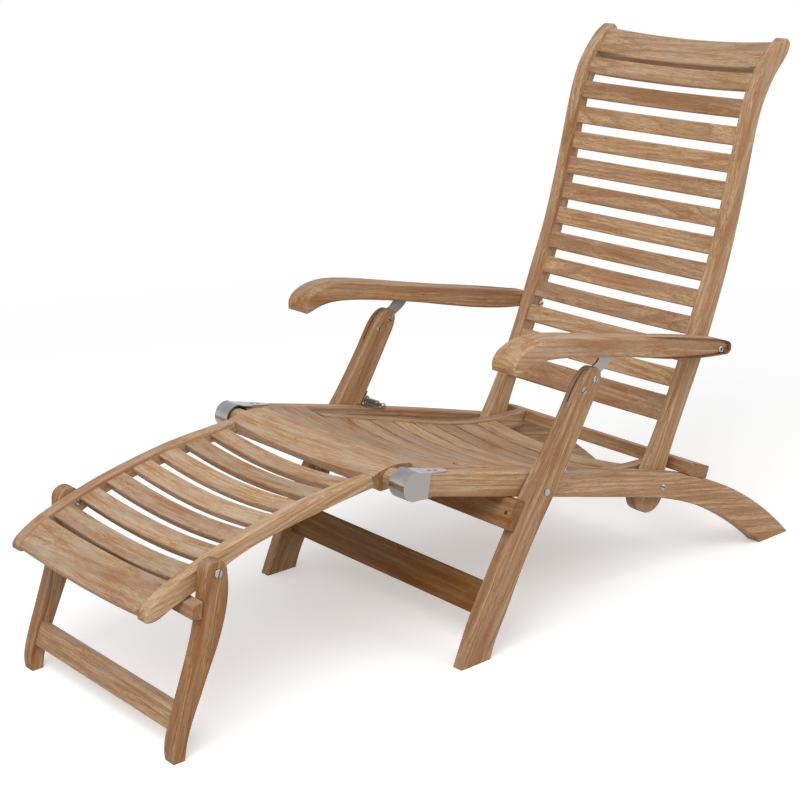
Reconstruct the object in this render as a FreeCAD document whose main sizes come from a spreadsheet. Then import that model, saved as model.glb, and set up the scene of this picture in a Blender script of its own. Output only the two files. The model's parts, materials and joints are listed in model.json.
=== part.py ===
import FreeCAD, Part
import math
import os
import re
import Sketcher

# A folding steamer deck chair in teak, with a leg rest that has folding legs of its own.
# +Z is up, -X is the foot end, +X the back end, and -Y the sitter's left.
# Sizes are in millimetres and stations along the chair are measured from the front leg's foot.

os.makedirs("parts", exist_ok=True)
doc = FreeCAD.newDocument("SteamerChair")
dims = doc.addObject("Spreadsheet::Sheet", "Dims")

SIZES = [
    ("seat_clear", 450, "clear width between the side rails"),
    ("rail_thick", 31, "side rail, across the chair"),
    ("leg_thick", 23, "front leg, across the chair"),
    ("stile_thick", 24, "back stile, across the chair"),
    ("side_gap", 1, "air between pieces that pass each other"),
    ("seat_rail_thick", 22, "seat rail, across the chair"),
    ("seat_rail_gap", 3, "air between seat rail and back stile"),
    ("rest_half", 198.4, "half width over the leg rest's rails"),
    ("rest_rail_thick", 23, "leg rest rail, across the chair"),
    ("foot_gap", 0.6, "air between leg rest rail and foot leg"),
    ("foot_leg_thick", 25, "foot leg, across the chair"),
    ("leg_pivot_x", 189, "front leg pivot, station"),
    ("leg_pivot_z", 265, "front leg pivot, height"),
    ("back_pivot_x", 509, "back pivot, station"),
    ("back_pivot_z", 187, "back pivot, height"),
    ("arm_bolt_x", 650, "arm to back bolt, station"),
    ("arm_bolt_z", 419, "arm to back bolt, height"),
    ("arm_pin_x", 339, "arm to leg plate pin, station"),
    ("arm_pin_z", 481, "arm to leg plate pin, height"),
    ("rest_pivot_x", -82, "leg rest pivot, station"),
    ("rest_pivot_z", 336, "leg rest pivot, height"),
    ("foot_pivot_x", -438, "foot leg bolt, station"),
    ("foot_pivot_z", 281.5, "foot leg bolt, height"),
    ("leg_tilt", 58.7, "front leg and lower back, above level"),
    ("arm_tilt", -13.7, "armrest and side rail, above level"),
    ("rest_tilt", 12.4, "leg rest, above level"),
    ("dish", 14, "hollow of the boards at the middle"),
    ("slat_thick", 11, "seat and leg rest slats"),
    ("back_slat_thick", 10, "back slats"),
    ("back_slat_wide", 34.2, "back slats, along the back"),
    ("back_pitch", 50.35, "back slats, one to the next"),
    ("seat_pitch", 55.4, "seat slats, one to the next"),
    ("seat_slat_wide", 48.4, "seat slats, along the chair"),
    ("rest_pitch", 53.3, "leg rest slats, one to the next"),
    ("rest_slat_wide", 38, "leg rest slats, along the leg rest"),
    ("slat_round", 2.5, "rounding of the slats' long edges"),
    ("edge_round", 3, "rounding of the frame's long edges"),
    ("arm_round", 5, "rounding of the armrests' edges"),
    ("sole_ease", 1, "easing of the rear feet's soles"),
    ("bolt_r", 4, "pivot bolts, radius"),
    ("bolt_air", 0.05, "air round a pivot bolt"),
    ("bolt_head_r", 9, "pivot bolt heads, radius"),
    ("bolt_head_high", 3, "pivot bolt heads, height"),
    ("nut_r", 7.5, "pivot bolt nuts, radius"),
    ("nut_high", 2.2, "pivot bolt nuts, height"),
    ("washer_air", 0.2, "air under a bolt's head or nut"),
    ("plate_thick", 3, "steel plate in the leg's head"),
    ("plate_mid", 268.5, "steel plate, half spacing"),
    ("plate_air", 0.4, "air on each side of the plate in the arm's slot"),
    ("plate_fit", 0.1, "air beside the plate in the leg's slot"),
    ("plate_slip", 3.6, "free play of the plate's hole on its pin"),
    ("rivet_r", 2.5, "rivets of the plate in the leg, radius"),
    ("rivet_head_r", 5, "rivet heads, radius"),
    ("rivet_head_high", 1.4, "rivet heads, height"),
    ("arm_pin_r", 3, "pin of the arm in the plate"),
    ("arm_pin_long", 26, "pin of the arm, length"),
    ("cap_wall", 2, "wall of the hinge cap"),
    ("cap_lip", 3, "hinge cap's reach over the side rail's inner face"),
    ("cap_r", 24.5, "hinge cap's round front"),
    ("tongue_r", 17.5, "round tongue of the knee board"),
    ("tongue_air", 0.5, "air between tongue and hinge cap's plate"),
    ("strap_thick", 2, "straps of the hinge cap"),
    ("bar_thick", 22, "stop bar and stretcher of the front legs"),
    ("rear_bar_x", 604, "seat rear bar, station"),
    ("rear_bar_wide", 53, "seat rear bar, along the chair"),
    ("rear_bar_thick", 24, "seat rear bar, thickness"),
    ("front_board_wide", 100, "seat front board, along the chair"),
    ("front_board_thick", 22, "seat front board, thickness"),
    ("seat_edge_x", 72, "rear edge of the seat front board, station"),
    ("latch_r", 3.5, "latch bolt, radius"),
    ("latch_x", 240, "latch bolt, station"),
    ("latch_up", 9, "latch bolt's axis above the side rail"),
    ("latch_barrel_r", 6, "latch barrel, radius"),
    ("stop_air", 0.5, "air between stop bar and front leg"),
    ("latch_long", 30, "latch barrel, across the chair"),
    ("keeper_wide", 8, "latch keeper, across the chair"),
]

for row, (alias, size, note) in enumerate(SIZES, start=1):
    dims.set(f"A{row}", note)
    dims.set(f"B{row}", str(size))
    dims.setAlias(f"B{row}", alias)
CENTRE_ROW = len(SIZES) + 1
dims.set(f"A{CENTRE_ROW}", "middle of the chair's length, station")
dims.set(f"B{CENTRE_ROW}", "166")
dims.setAlias(f"B{CENTRE_ROW}", "centre_x")
doc.recompute()


def val(alias):
    return float(dims.get(alias))


def vec(point):
    return FreeCAD.Vector(point[0], point[1], 0)


NAMES = {entry[0] for entry in SIZES} | {"centre_x"}


def bound(text):
    """Write the sheet's names in an expression in full."""
    return re.sub(r"[a-z_]+\w*", lambda m: ("Dims." if m.group() in NAMES else "") + m.group(), text)


def cell(owner, prop, text):
    owner.setExpression(prop, bound(text))


def origin_plane(body, role):
    return [f for f in body.Origin.OriginFeatures if f.Role == role][0]


def place(thing, x, y, z, tilt=None):
    """Bind a piece's place to the sheet; tilt turns it up from level, about the cross axis."""
    axis = FreeCAD.Vector(0, -1, 0)
    thing.Placement = FreeCAD.Placement(FreeCAD.Vector(), FreeCAD.Rotation(axis, 5 if tilt else 0))
    cell(thing, "Placement.Base.x", x + " - centre_x")
    cell(thing, "Placement.Base.y", y)
    cell(thing, "Placement.Base.z", z)
    if tilt:
        cell(thing, "Placement.Rotation.Angle", tilt)


def new_body(label):
    body = doc.addObject("PartDesign::Body", label)
    body.Label = label
    return body


def smooth_line(points):
    curve = Part.BSplineCurve()
    curve.interpolate([vec(p) for p in points])
    return curve


def add_smooth(sketch, points):
    """One smooth curve through points, laid down as stretches of a few points each."""
    whole = smooth_line(points)
    knots = [whole.parameter(vec(p)) for p in points]
    stretches = max(1, round((len(points) - 1) / 3))
    stops = [round(k * (len(points) - 1) / stretches) for k in range(stretches + 1)]
    for first, last in zip(stops, stops[1:]):
        stretch = whole.copy()
        stretch.segment(knots[first], knots[last])
        sketch.addGeometry(stretch, False)


def bend(start, way, end):
    """The middle of the arc that leaves start along way and reaches end."""
    chord = (end[0] - start[0], end[1] - start[1])
    turn = math.atan2(chord[1], chord[0]) - math.atan2(way[1], way[0])
    rise = math.tan(turn / 2) / 2
    return (start[0] + chord[0] / 2 + chord[1] * rise, start[1] + chord[1] / 2 - chord[0] * rise)


def outline(body, name, start, steps, plane="XZ_Plane"):
    """A closed sketch of lines, arcs through a point, and smooth curves through points."""
    sketch = body.newObject("Sketcher::SketchObject", name)
    sketch.AttachmentSupport = [(origin_plane(body, plane), "")]
    sketch.MapMode = "FlatFace"
    return draw(sketch, start, steps)


def draw(sketch, start, steps):
    """Add a closed ring of lines, arcs and smooth curves to a sketch."""
    here = start
    for kind, *points in steps:
        if kind == "line":
            for point in points:
                if math.dist(here, point) > 1e-6:
                    sketch.addGeometry(Part.LineSegment(vec(here), vec(point)), False)
                here = point
        elif kind == "arc":
            sketch.addGeometry(Part.Arc(vec(here), vec(points[0]), vec(points[1])), False)
            here = points[1]
        else:
            add_smooth(sketch, [here] + points)
            here = points[-1]
    if math.dist(here, start) > 1e-6:
        sketch.addGeometry(Part.LineSegment(vec(here), vec(start)), False)
    return sketch


def circle(body, name, centre, radius, plane="XZ_Plane"):
    """A round sketch whose radius and place follow the sheet's names or plain numbers."""
    sketch = body.newObject("Sketcher::SketchObject", name)
    sketch.AttachmentSupport = [(origin_plane(body, plane), "")]
    sketch.MapMode = "FlatFace"
    middle = FreeCAD.Vector(centre[0], centre[1], 0)
    sketch.addGeometry(Part.Circle(middle, FreeCAD.Vector(0, 0, 1), 3), False)
    row = sketch.addConstraint(Sketcher.Constraint("Radius", 0, 3))
    cell(sketch, f"Constraints[{row}]", radius)
    return sketch


def pad(body, sketch, length, both=False):
    feature = body.newObject("PartDesign::Pad", "Pad")
    feature.Profile = sketch
    if both:
        feature.SideType = "Symmetric"
    cell(feature, "Length", length)
    doc.recompute()
    return feature


def cut(body, sketch, length=None, reverse=False):
    """Cut through everything both ways, or to a depth, and make sure that material went."""
    before = body.Shape.Volume
    feature = body.newObject("PartDesign::Pocket", "Pocket")
    feature.Profile = sketch
    if length:
        cell(feature, "Length", length)
        feature.Reversed = reverse
    else:
        feature.Type = "ThroughAll"
        feature.SideType = "Symmetric"
    doc.recompute()
    if body.Shape.Volume > before - 0.01:
        raise ValueError(body.Label + ": a cut removed nothing")
    return feature


def soften(body, radius, chosen):
    """Round the edges that the test picks."""
    base = body.Tip
    names = [f"Edge{i + 1}" for i, edge in enumerate(base.Shape.Edges) if chosen(edge)]
    feature = body.newObject("PartDesign::Fillet", "Fillet")
    feature.Base = (base, names)
    cell(feature, "Radius", radius)
    doc.recompute()
    return feature


def ease(body, size, chosen):
    """Take the sharpness off the edges that the test picks."""
    base = body.Tip
    names = [f"Edge{i + 1}" for i, edge in enumerate(base.Shape.Edges) if chosen(edge)]
    feature = body.newObject("PartDesign::Chamfer", "Chamfer")
    feature.Base = (base, names)
    cell(feature, "Size", size)
    doc.recompute()
    return feature


def in_side_face(edge):
    return edge.BoundBox.YLength < 1e-4


def above_sole(tilt):
    """Picks the edges of a side face, but not those of a sole, which lies level with the floor."""
    def chosen(edge):
        level = edge.BoundBox.ZLength < 1e-3 if not tilt else False
        if tilt and edge.Curve.TypeId == "Part::GeomLine":
            way = edge.tangentAt(edge.FirstParameter)
            rise = way.x * math.sin(math.radians(tilt)) + way.z * math.cos(math.radians(tilt))
            level = abs(rise) < 1e-6
        return in_side_face(edge) and not level
    return chosen


def hole(body, name, centre, radius="bolt_r + bolt_air"):
    return cut(body, circle(body, name, centre, radius))


SIDES = (("left", -1), ("right", 1))


def side_y(sign, inner, thick):
    """Where the outline plane of a side piece lies: its pad runs towards -Y."""
    return f"-({inner})" if sign < 0 else f"{inner} + {thick}"


def turned(x, z, angle):
    """Components along and across a direction that rises by angle degrees."""
    c = math.cos(math.radians(angle))
    s = math.sin(math.radians(angle))
    return (x * c + z * s, z * c - x * s)


RAIL_IN = "seat_clear / 2"
RAIL_OUT = "seat_clear / 2 + rail_thick"
LEG_IN = "seat_clear / 2 + rail_thick + side_gap"
LEG_OUT = "seat_clear / 2 + rail_thick + side_gap + leg_thick"
STILE_OUT = "seat_clear / 2 - side_gap"
STILE_IN = "seat_clear / 2 - side_gap - stile_thick"
SEAT_RAIL_OUT = "seat_clear / 2 - side_gap - stile_thick - seat_rail_gap"
SEAT_RAIL_IN = "seat_clear / 2 - side_gap - stile_thick - seat_rail_gap - seat_rail_thick"

leg_pivot = (val("leg_pivot_x"), val("leg_pivot_z"))
back_pivot = (val("back_pivot_x"), val("back_pivot_z"))
rest_pivot = (val("rest_pivot_x"), val("rest_pivot_z"))
foot_pivot = (val("foot_pivot_x"), val("foot_pivot_z"))
arm_pin = (val("arm_pin_x"), val("arm_pin_z"))
arm_bolt = (val("arm_bolt_x"), val("arm_bolt_z"))
floor = -leg_pivot[1]
pieces = []


# Side rails. The outline is measured from the leg pivot: a barely crowned beam that
# bends down at the back into its own foot.
RAIL_TOP = [(-249, 87), (16, 26.3), (340, -57.4)]
RAIL_HEEL = (696, floor)
RAIL_UNDER = [(-248, 48.5), (275, -86.9)]
RAIL_SOLE = (608, floor)
crown = Part.Arc(*[vec(p) for p in RAIL_TOP])
crown_end = crown.tangent(crown.parameter(vec(RAIL_TOP[2])))[0]
RAIL_TOP_BEND = bend(RAIL_TOP[2], (crown_end.x, crown_end.y), RAIL_HEEL)
under_way = (RAIL_UNDER[1][0] - RAIL_UNDER[0][0], RAIL_UNDER[1][1] - RAIL_UNDER[0][1])
RAIL_UNDER_BEND = bend(RAIL_UNDER[1], under_way, RAIL_SOLE)


def run_on(start, middle, end, reach=14):
    """The point reached by following an arc's circle past its end."""
    circle = Part.Circle(vec(start), vec(middle), vec(end))
    point = circle.value(circle.parameter(vec(end)) + reach / circle.Radius)
    return (point.x, point.y)


# The rear foot is drawn past the floor and then sawn off level with it.
SAW_PAST = 60
SAW_DEEP = 40
waste_front = RAIL_SOLE[0] - SAW_PAST
waste_back = RAIL_HEEL[0] + SAW_PAST
for side, sign in SIDES:
    body = new_body(side + "_side_rail")
    place(body, "leg_pivot_x", side_y(sign, RAIL_IN, "rail_thick"), "leg_pivot_z")
    sketch = outline(body, "RailOutline", RAIL_TOP[0], [
        ("arc", RAIL_TOP[1], RAIL_TOP[2]),
        ("arc", RAIL_HEEL, run_on(RAIL_TOP[2], RAIL_TOP_BEND, RAIL_HEEL)),
        ("line", run_on(RAIL_UNDER[1], RAIL_UNDER_BEND, RAIL_SOLE)),
        ("arc", RAIL_SOLE, RAIL_UNDER[1]),
        ("line", RAIL_UNDER[0]),
    ])
    pad(body, sketch, "rail_thick")
    soften(body, "edge_round", lambda e: in_side_face(e) and e.BoundBox.ZMax > floor + 1)
    cut(body, outline(body, "BelowFloor", (waste_front, floor), [
        ("line", (waste_back, floor), (waste_back, floor - SAW_DEEP), (waste_front, floor - SAW_DEEP)),
    ]))
    ease(body, "sole_ease", lambda e: e.BoundBox.ZMax < 0.01)
    hole(body, "LegBoltHole", (0, 0))
    hole(body, "BackBoltHole", (back_pivot[0] - leg_pivot[0], back_pivot[1] - leg_pivot[1]))
    pieces.append(body)

rail_top_edge = Part.Wire([
    Part.Arc(vec(RAIL_TOP[0]), vec(RAIL_TOP[1]), vec(RAIL_TOP[2])).toShape(),
    Part.Arc(vec(RAIL_TOP[2]), vec(RAIL_TOP_BEND), vec(RAIL_HEEL)).toShape(),
])


def on_rail(station):
    """Height of the side rail's top at a station, and its slope in degrees."""
    x = station - leg_pivot[0]
    upright = Part.LineSegment(FreeCAD.Vector(x, floor, 0), FreeCAD.Vector(x, 400, 0)).toShape()
    for edge in rail_top_edge.Edges:
        gap, pairs, _ = upright.distToShape(edge)
        if gap < 1e-6:
            point = pairs[0][1]
            way = edge.tangentAt(edge.Curve.parameter(point))
            return point.y + leg_pivot[1], math.degrees(math.atan2(way.y, way.x)) % 180 - 180
    raise ValueError("no side rail at this station")


# Front legs, drawn along their own axis from the pivot; the foot is cut level with the floor.
def leg_foot(across):
    tilt = math.radians(val("leg_tilt"))
    return (-(leg_pivot[1] + across * math.cos(tilt)) / math.sin(tilt), across)


LEG_STOP = (-84.5, -28.5)
LEG_FRONT = 40
PLATE_RIVETS = [(207, -6), (181, 9.5)]
# The slot for the arm's steel plate runs from here out through the leg's head.
PLATE_SLOT = (152, 260)
for side, sign in SIDES:
    body = new_body(side + "_front_leg")
    place(body, "leg_pivot_x", side_y(sign, LEG_IN, "leg_thick"), "leg_pivot_z", "leg_tilt")
    sketch = outline(body, "LegOutline", leg_foot(29), [
        ("curve", (-285, 34.5), (-240, 39.3), (-165, 40.4), (LEG_STOP[0], LEG_FRONT), (-56, LEG_FRONT),
         (LEG_STOP[1], LEG_FRONT), (15, 36), (55, 31.3), (100, 28.3), (145, 26.4), (185, 25.4), (207, 20.5),
         (220.6, 11.5), (226, -1),
         (222.5, -12.5), (209, -20.3), (180, -22.8), (130, -23), (73, -22.8), (0, -20.6), (-41, -17.8),
         (-100, -15.7), (-151.6, -16.8), (-214.6, -20.4), (-262, -22.5), leg_foot(-28.2)),
    ])
    pad(body, sketch, "leg_thick")
    soften(body, "edge_round", above_sole(val("leg_tilt")))
    hole(body, "PivotHole", (0, 0))
    half_slot = val("plate_thick") / 2 + val("plate_fit")
    plate_depth = val("plate_mid") - val("seat_clear") / 2 - val("rail_thick") - val("side_gap")
    middle = -plate_depth if sign < 0 else plate_depth - val("leg_thick")
    slot_foot, slot_head = PLATE_SLOT
    slot = outline(body, "PlateSlot", (slot_foot, middle - half_slot), [
        ("line", (slot_head, middle - half_slot), (slot_head, middle + half_slot),
         (slot_foot, middle + half_slot)),
    ], "XY_Plane")
    cut(body, slot)
    for k, spot in enumerate(PLATE_RIVETS):
        hole(body, f"RivetHole{k}", spot, "rivet_r + bolt_air")
    pieces.append(body)

body = new_body("front_leg_stretcher")
place(body, "leg_pivot_x", "0", "leg_pivot_z", "leg_tilt")
sketch = outline(body, "StretcherEnd", (-234.5, 18), [
    ("line", (-234.5, 18 - val("bar_thick")), (-176.5, 18 - val("bar_thick")), (-176.5, 18)),
])
pad(body, sketch, f"2 * ({LEG_IN})", both=True)
soften(body, "edge_round", lambda e: e.BoundBox.YLength > 100)
pieces.append(body)

# The stop bar lies on the legs' front faces and ends their swing under the side rails.
body = new_body("front_leg_stop_bar")
place(body, "leg_pivot_x", "0", "leg_pivot_z", "leg_tilt")
stop_face = LEG_FRONT + val("stop_air")
sketch = outline(body, "StopBarEnd", (LEG_STOP[0], stop_face), [
    ("line", (LEG_STOP[0], stop_face + val("bar_thick")), (LEG_STOP[1] - 6.6, stop_face + val("bar_thick")),
     (LEG_STOP[1] - 0.6, stop_face)),
])
pad(body, sketch, f"2 * ({LEG_OUT})", both=True)
soften(body, "edge_round / 2", lambda e: e.BoundBox.YLength > 100)
pieces.append(body)

# Steel plates in the legs' heads, round over the pin, with a hole that leaves the linkage its play.
tilt = val("leg_tilt")
pin_on_leg = turned(arm_pin[0] - leg_pivot[0], arm_pin[1] - leg_pivot[1], tilt)
for side, sign in SIDES:
    body = new_body(side + "_arm_plate")
    place(body, "leg_pivot_x", f"{'-' if sign < 0 else ''}plate_mid", "leg_pivot_z", "leg_tilt")
    px, pz = pin_on_leg
    sketch = outline(body, "PlateOutline", (162, -13), [
        ("line", (162, 22), (188, 22)),
        ("curve", (204, 18), (216.5, 10), (226, 2), (240, -5.5), (px - 13, pz + 13)),
        ("curve", (px - 3, pz + 14), (px + 8, pz + 10), (px + 12, pz), (px + 8, pz - 13)),
        ("line", (px - 8, pz - 20)),
        ("curve", (240, -31.5), (228, -25), (206, -18)),
    ])
    pad(body, sketch, "plate_thick", both=True)
    hole(body, "PinHole", pin_on_leg, "arm_pin_r + plate_slip")
    for k, spot in enumerate(PLATE_RIVETS):
        hole(body, f"RivetHole{k}", spot, "rivet_r + bolt_air")
    pieces.append(body)

# Armrests: the side outline first, then the outline from above, which widens towards the front.
# The points from above are stations along the arm and distances from the side rail's inner face.
ARM_TILT = val("arm_tilt")
ARM_END_THICK = 36
ARM_NOSE = (-259, 47)
ARM_WASTE = 420
ARM_SLOT = (-24, 64)
ARM_SLOT_TOP = 19
ARM_SLOT_DEEP = 60
bolt_on_arm = turned(arm_bolt[0] - arm_pin[0], arm_bolt[1] - arm_pin[1], ARM_TILT)
for side, sign in SIDES:
    body = new_body(side + "_armrest")
    place(body, "arm_pin_x", "0", "arm_pin_z", "arm_tilt")
    bx, bz = bolt_on_arm
    sketch = outline(body, "ArmSide", (bx, bz - 8), [
        ("curve", (240, -4.5), (176, -8.5), (100, -9.6), (17.5, -9.8), (-68, -13.5), (-146, -21.5),
         (-200, -33), (-236, -41.5), (-250, -40), (-257, -31), (-255, -18), (-244, -6), (-220, 4.5),
         (-165, 14), (-55, 20.5), (67.5, 24.5), (217.5, 30.5), (bx, bz + 18)),
        ("arc", (bx + 23, bz + 5), (bx, bz - 8)),
    ])
    pad(body, sketch, "700", both=True)
    plan = outline(body, "ArmPlan", (-ARM_WASTE, -ARM_WASTE), [
        ("line", (ARM_WASTE, -ARM_WASTE), (ARM_WASTE, ARM_WASTE), (-ARM_WASTE, ARM_WASTE)),
    ], "XY_Plane")
    inside = [(-212, 21), (-120, 19), (0, 12), (130, 4), (230, 0), (bx + 30, 0)]
    outside = [(bx + 30, ARM_END_THICK), (230, 38), (130, 46), (0, 58), (-120, 68.5), (-212, 73)]
    inner_edge = [(x, sign * (val("seat_clear") / 2 + y)) for x, y in inside]
    outer_edge = [(x, sign * (val("seat_clear") / 2 + y)) for x, y in outside]
    draw(plan, inner_edge[0], [
        ("curve", *inner_edge[1:]),
        ("line", outer_edge[0]),
        ("curve", *outer_edge[1:]),
        ("arc", (ARM_NOSE[0], sign * (val("seat_clear") / 2 + ARM_NOSE[1])), inner_edge[0]),
    ])
    cut(body, plan)
    soften(body, "arm_round", lambda e: True)
    hole(body, "BackBoltHole", bolt_on_arm)
    pin_hole = circle(body, "PinHole", (0, 0), "arm_pin_r + bolt_air")
    cell(pin_hole, "AttachmentOffset.Base.z", f"{-sign} * plate_mid + arm_pin_long / 2 + washer_air")
    cut(body, pin_hole, "arm_pin_long + 2 * washer_air")
    half_slot = val("plate_thick") / 2 + val("plate_air")
    mid = sign * val("plate_mid")
    slot_front, slot_back = ARM_SLOT
    slot = outline(body, "PlateSlot", (slot_front, mid - half_slot), [
        ("line", (slot_back, mid - half_slot), (slot_back, mid + half_slot), (slot_front, mid + half_slot)),
    ], "XY_Plane")
    cell(slot, "AttachmentOffset.Base.z", str(ARM_SLOT_TOP))
    cut(body, slot, str(ARM_SLOT_DEEP))
    pieces.append(body)

# Back stiles, drawn along the lower back from the pivot: a long forward bow, a roll at the
# head, and a rounded heel that hangs below the side rail.
for side, sign in SIDES:
    body = new_body(side + "_back_stile")
    place(body, "back_pivot_x", side_y(sign, STILE_IN, "stile_thick"), "back_pivot_z", "leg_tilt")
    sketch = outline(body, "StileOutline", (30, 17), [
        ("curve", (121, 18.6), (226.7, 28.9), (326.7, 45.2), (422.3, 60), (507.6, 80.5), (602, 107.5),
         (652, 122.5), (697, 133.5), (733.7, 138), (776.8, 134), (805, 127.5), (824, 118)),
        ("arc", (834, 107), (829, 95)),
        ("curve", (809, 92.5), (780, 98.5), (747.8, 103), (702, 101.8), (664, 94), (621.9, 81),
         (531.6, 52), (424, 24), (340, 7.5), (250, -5.5), (140.6, -15.5), (61.4, -25), (10, -37)),
        ("arc", (-42.5, -41.5), (-53.5, -9)),
        ("arc", (-42.5, 18.8), (-10, 18.8)),
        ("curve", (10, 17.2), (30, 17)),
    ])
    pad(body, sketch, "stile_thick")
    soften(body, "edge_round", in_side_face)
    hole(body, "PivotHole", (0, 0))
    on_stile = turned(arm_bolt[0] - back_pivot[0], arm_bolt[1] - back_pivot[1], tilt)
    hole(body, "ArmBoltHole", on_stile)
    pieces.append(body)


# Boards that lie across the chair are bands hollowed towards the middle.
def board(label, length, wide, thick, sag, rounding="slat_round"):
    body = new_body(label)
    half = length / 2
    sketch = outline(body, "BoardEnd", (-half, 0), [
        ("arc", (0, -sag), (half, 0)),
        ("line", (half, -thick)),
        ("arc", (0, -sag - thick), (-half, -thick)),
    ], "YZ_Plane")
    pad(body, sketch, wide, both=True)
    soften(body, rounding, lambda e: e.BoundBox.YLength > length * 0.9)
    return body


def along(curve, distance):
    """Point and slope on a curve at a distance from its start."""
    u = curve.parameterAtDistance(distance, curve.FirstParameter)
    point = curve.value(u)
    way = curve.tangent(u)[0]
    return point.x, point.y, math.degrees(math.atan2(way.y, way.x))


# Back boards: faces set back from the stiles' front edge, evenly spaced along its curve.
back_line = smooth_line([(113, 13.8), (195, 20.3), (296, 29), (395, 44), (493.6, 65), (591, 92.5),
                         (688, 120), (735.4, 127.5), (767, 126), (828, 109)])
stile_in = val("seat_clear") / 2 - val("side_gap") - val("stile_thick")


def on_back(label, distance, wide, thick, sag):
    t, n, slope = along(back_line, distance)
    body = board(label, 2 * stile_in, wide, thick, sag)
    c = "cos(leg_tilt)"
    s = "sin(leg_tilt)"
    place(body, f"back_pivot_x + {t} * {c} - {n} * {s}", "0", f"back_pivot_z + {t} * {s} + {n} * {c}",
          f"leg_tilt + {slope}")
    pieces.append(body)


BACK_SLATS = 12
LOWEST_SLAT = 82.2
# Where the two wider boards lie along the curve, their width and their thickness.
BOTTOM_RAIL = (24, "48", 16)
CREST_RAIL = (695, "60", 24)
dish = val("dish")
on_back("back_bottom_rail", *BOTTOM_RAIL, dish)
for k in range(BACK_SLATS):
    distance = LOWEST_SLAT + val("back_pitch") * k
    on_back(f"back_slat_{BACK_SLATS - k}", distance, "back_slat_wide", val("back_slat_thick"), dish)
on_back("crest_rail", *CREST_RAIL, dish)

# Seat: a wide front board between the side rails, then slats between the scribed seat rails.
seat_clear = val("seat_clear")
board_mid = val("seat_edge_x") - val("front_board_wide") / 2
z_front, slope_front = on_rail(board_mid)
body = board("seat_front_board", seat_clear, "front_board_wide", val("front_board_thick"), dish)
place(body, "seat_edge_x - front_board_wide / 2", "0", f"{z_front}", f"{slope_front}")
pieces.append(body)

SEAT_TOP = [(-116.7, 53.5), (-20, 26.5), (71, 1.5), (145, -20), (213, -36.5), (280, -46.5), (396, -51)]
SEAT_UNDER = [(384, -80), (280, -78.5), (213, -69), (145, -53), (71, -29), (-20, -4), (-116.7, 21.5)]
for side, sign in SIDES:
    body = new_body(side + "_seat_rail")
    place(body, "leg_pivot_x", side_y(sign, SEAT_RAIL_IN, "seat_rail_thick"), "leg_pivot_z")
    sketch = outline(body, "SeatRailOutline", SEAT_TOP[0], [
        ("curve", *SEAT_TOP[1:]),
        ("line", SEAT_UNDER[0]),
        ("curve", *SEAT_UNDER[1:]),
    ])
    pad(body, sketch, "seat_rail_thick")
    soften(body, "edge_round / 2", lambda e: in_side_face(e) and e.Length > 50)
    pieces.append(body)

SEAT_SLATS = 8
SEAT_FIRST_SLAT = 30.7
SEAT_SLAT_DROP = 3.5
seat_rail_in = stile_in - val("seat_rail_gap") - val("seat_rail_thick")
seat_line = smooth_line(SEAT_TOP)
members = []
for k in range(SEAT_SLATS):
    x, z, slope = along(seat_line, SEAT_FIRST_SLAT + k * val("seat_pitch"))
    body = board(f"SeatSlat{k}", 2 * seat_rail_in, "seat_slat_wide", val("slat_thick"), dish)
    place(body, f"leg_pivot_x + {x}", "0", f"leg_pivot_z + {z} - {SEAT_SLAT_DROP}", f"{slope}")
    members.append(body)
group = doc.addObject("Part::Compound", "seat_slats")
group.Label = "seat_slats"
group.Links = members
pieces.append(group)

body = new_body("seat_rear_bar")
z_bar, slope_bar = on_rail(val("rear_bar_x"))
place(body, "rear_bar_x", "0", f"{z_bar}", f"{slope_bar}")
w = val("rear_bar_wide") / 2
sketch = outline(body, "RearBarEnd", (-w, 0.05), [
    ("line", (w, 0.05), (w, val("rear_bar_thick")), (-w, val("rear_bar_thick"))),
])
pad(body, sketch, f"2 * ({RAIL_OUT})", both=True)
soften(body, "edge_round", lambda e: e.BoundBox.YLength > 100)
pieces.append(body)

# Hinge caps: a steel cup over each side rail's front end, round about the leg rest's pivot,
# with a strap along the rail's top and a shorter one below.
def under_rail(station):
    """Height of the side rail's straight underside at a station."""
    (x1, z1), (x2, z2) = RAIL_UNDER
    x = station - leg_pivot[0]
    return z1 + (z2 - z1) * (x - x1) / (x2 - x1) + leg_pivot[1]


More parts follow.
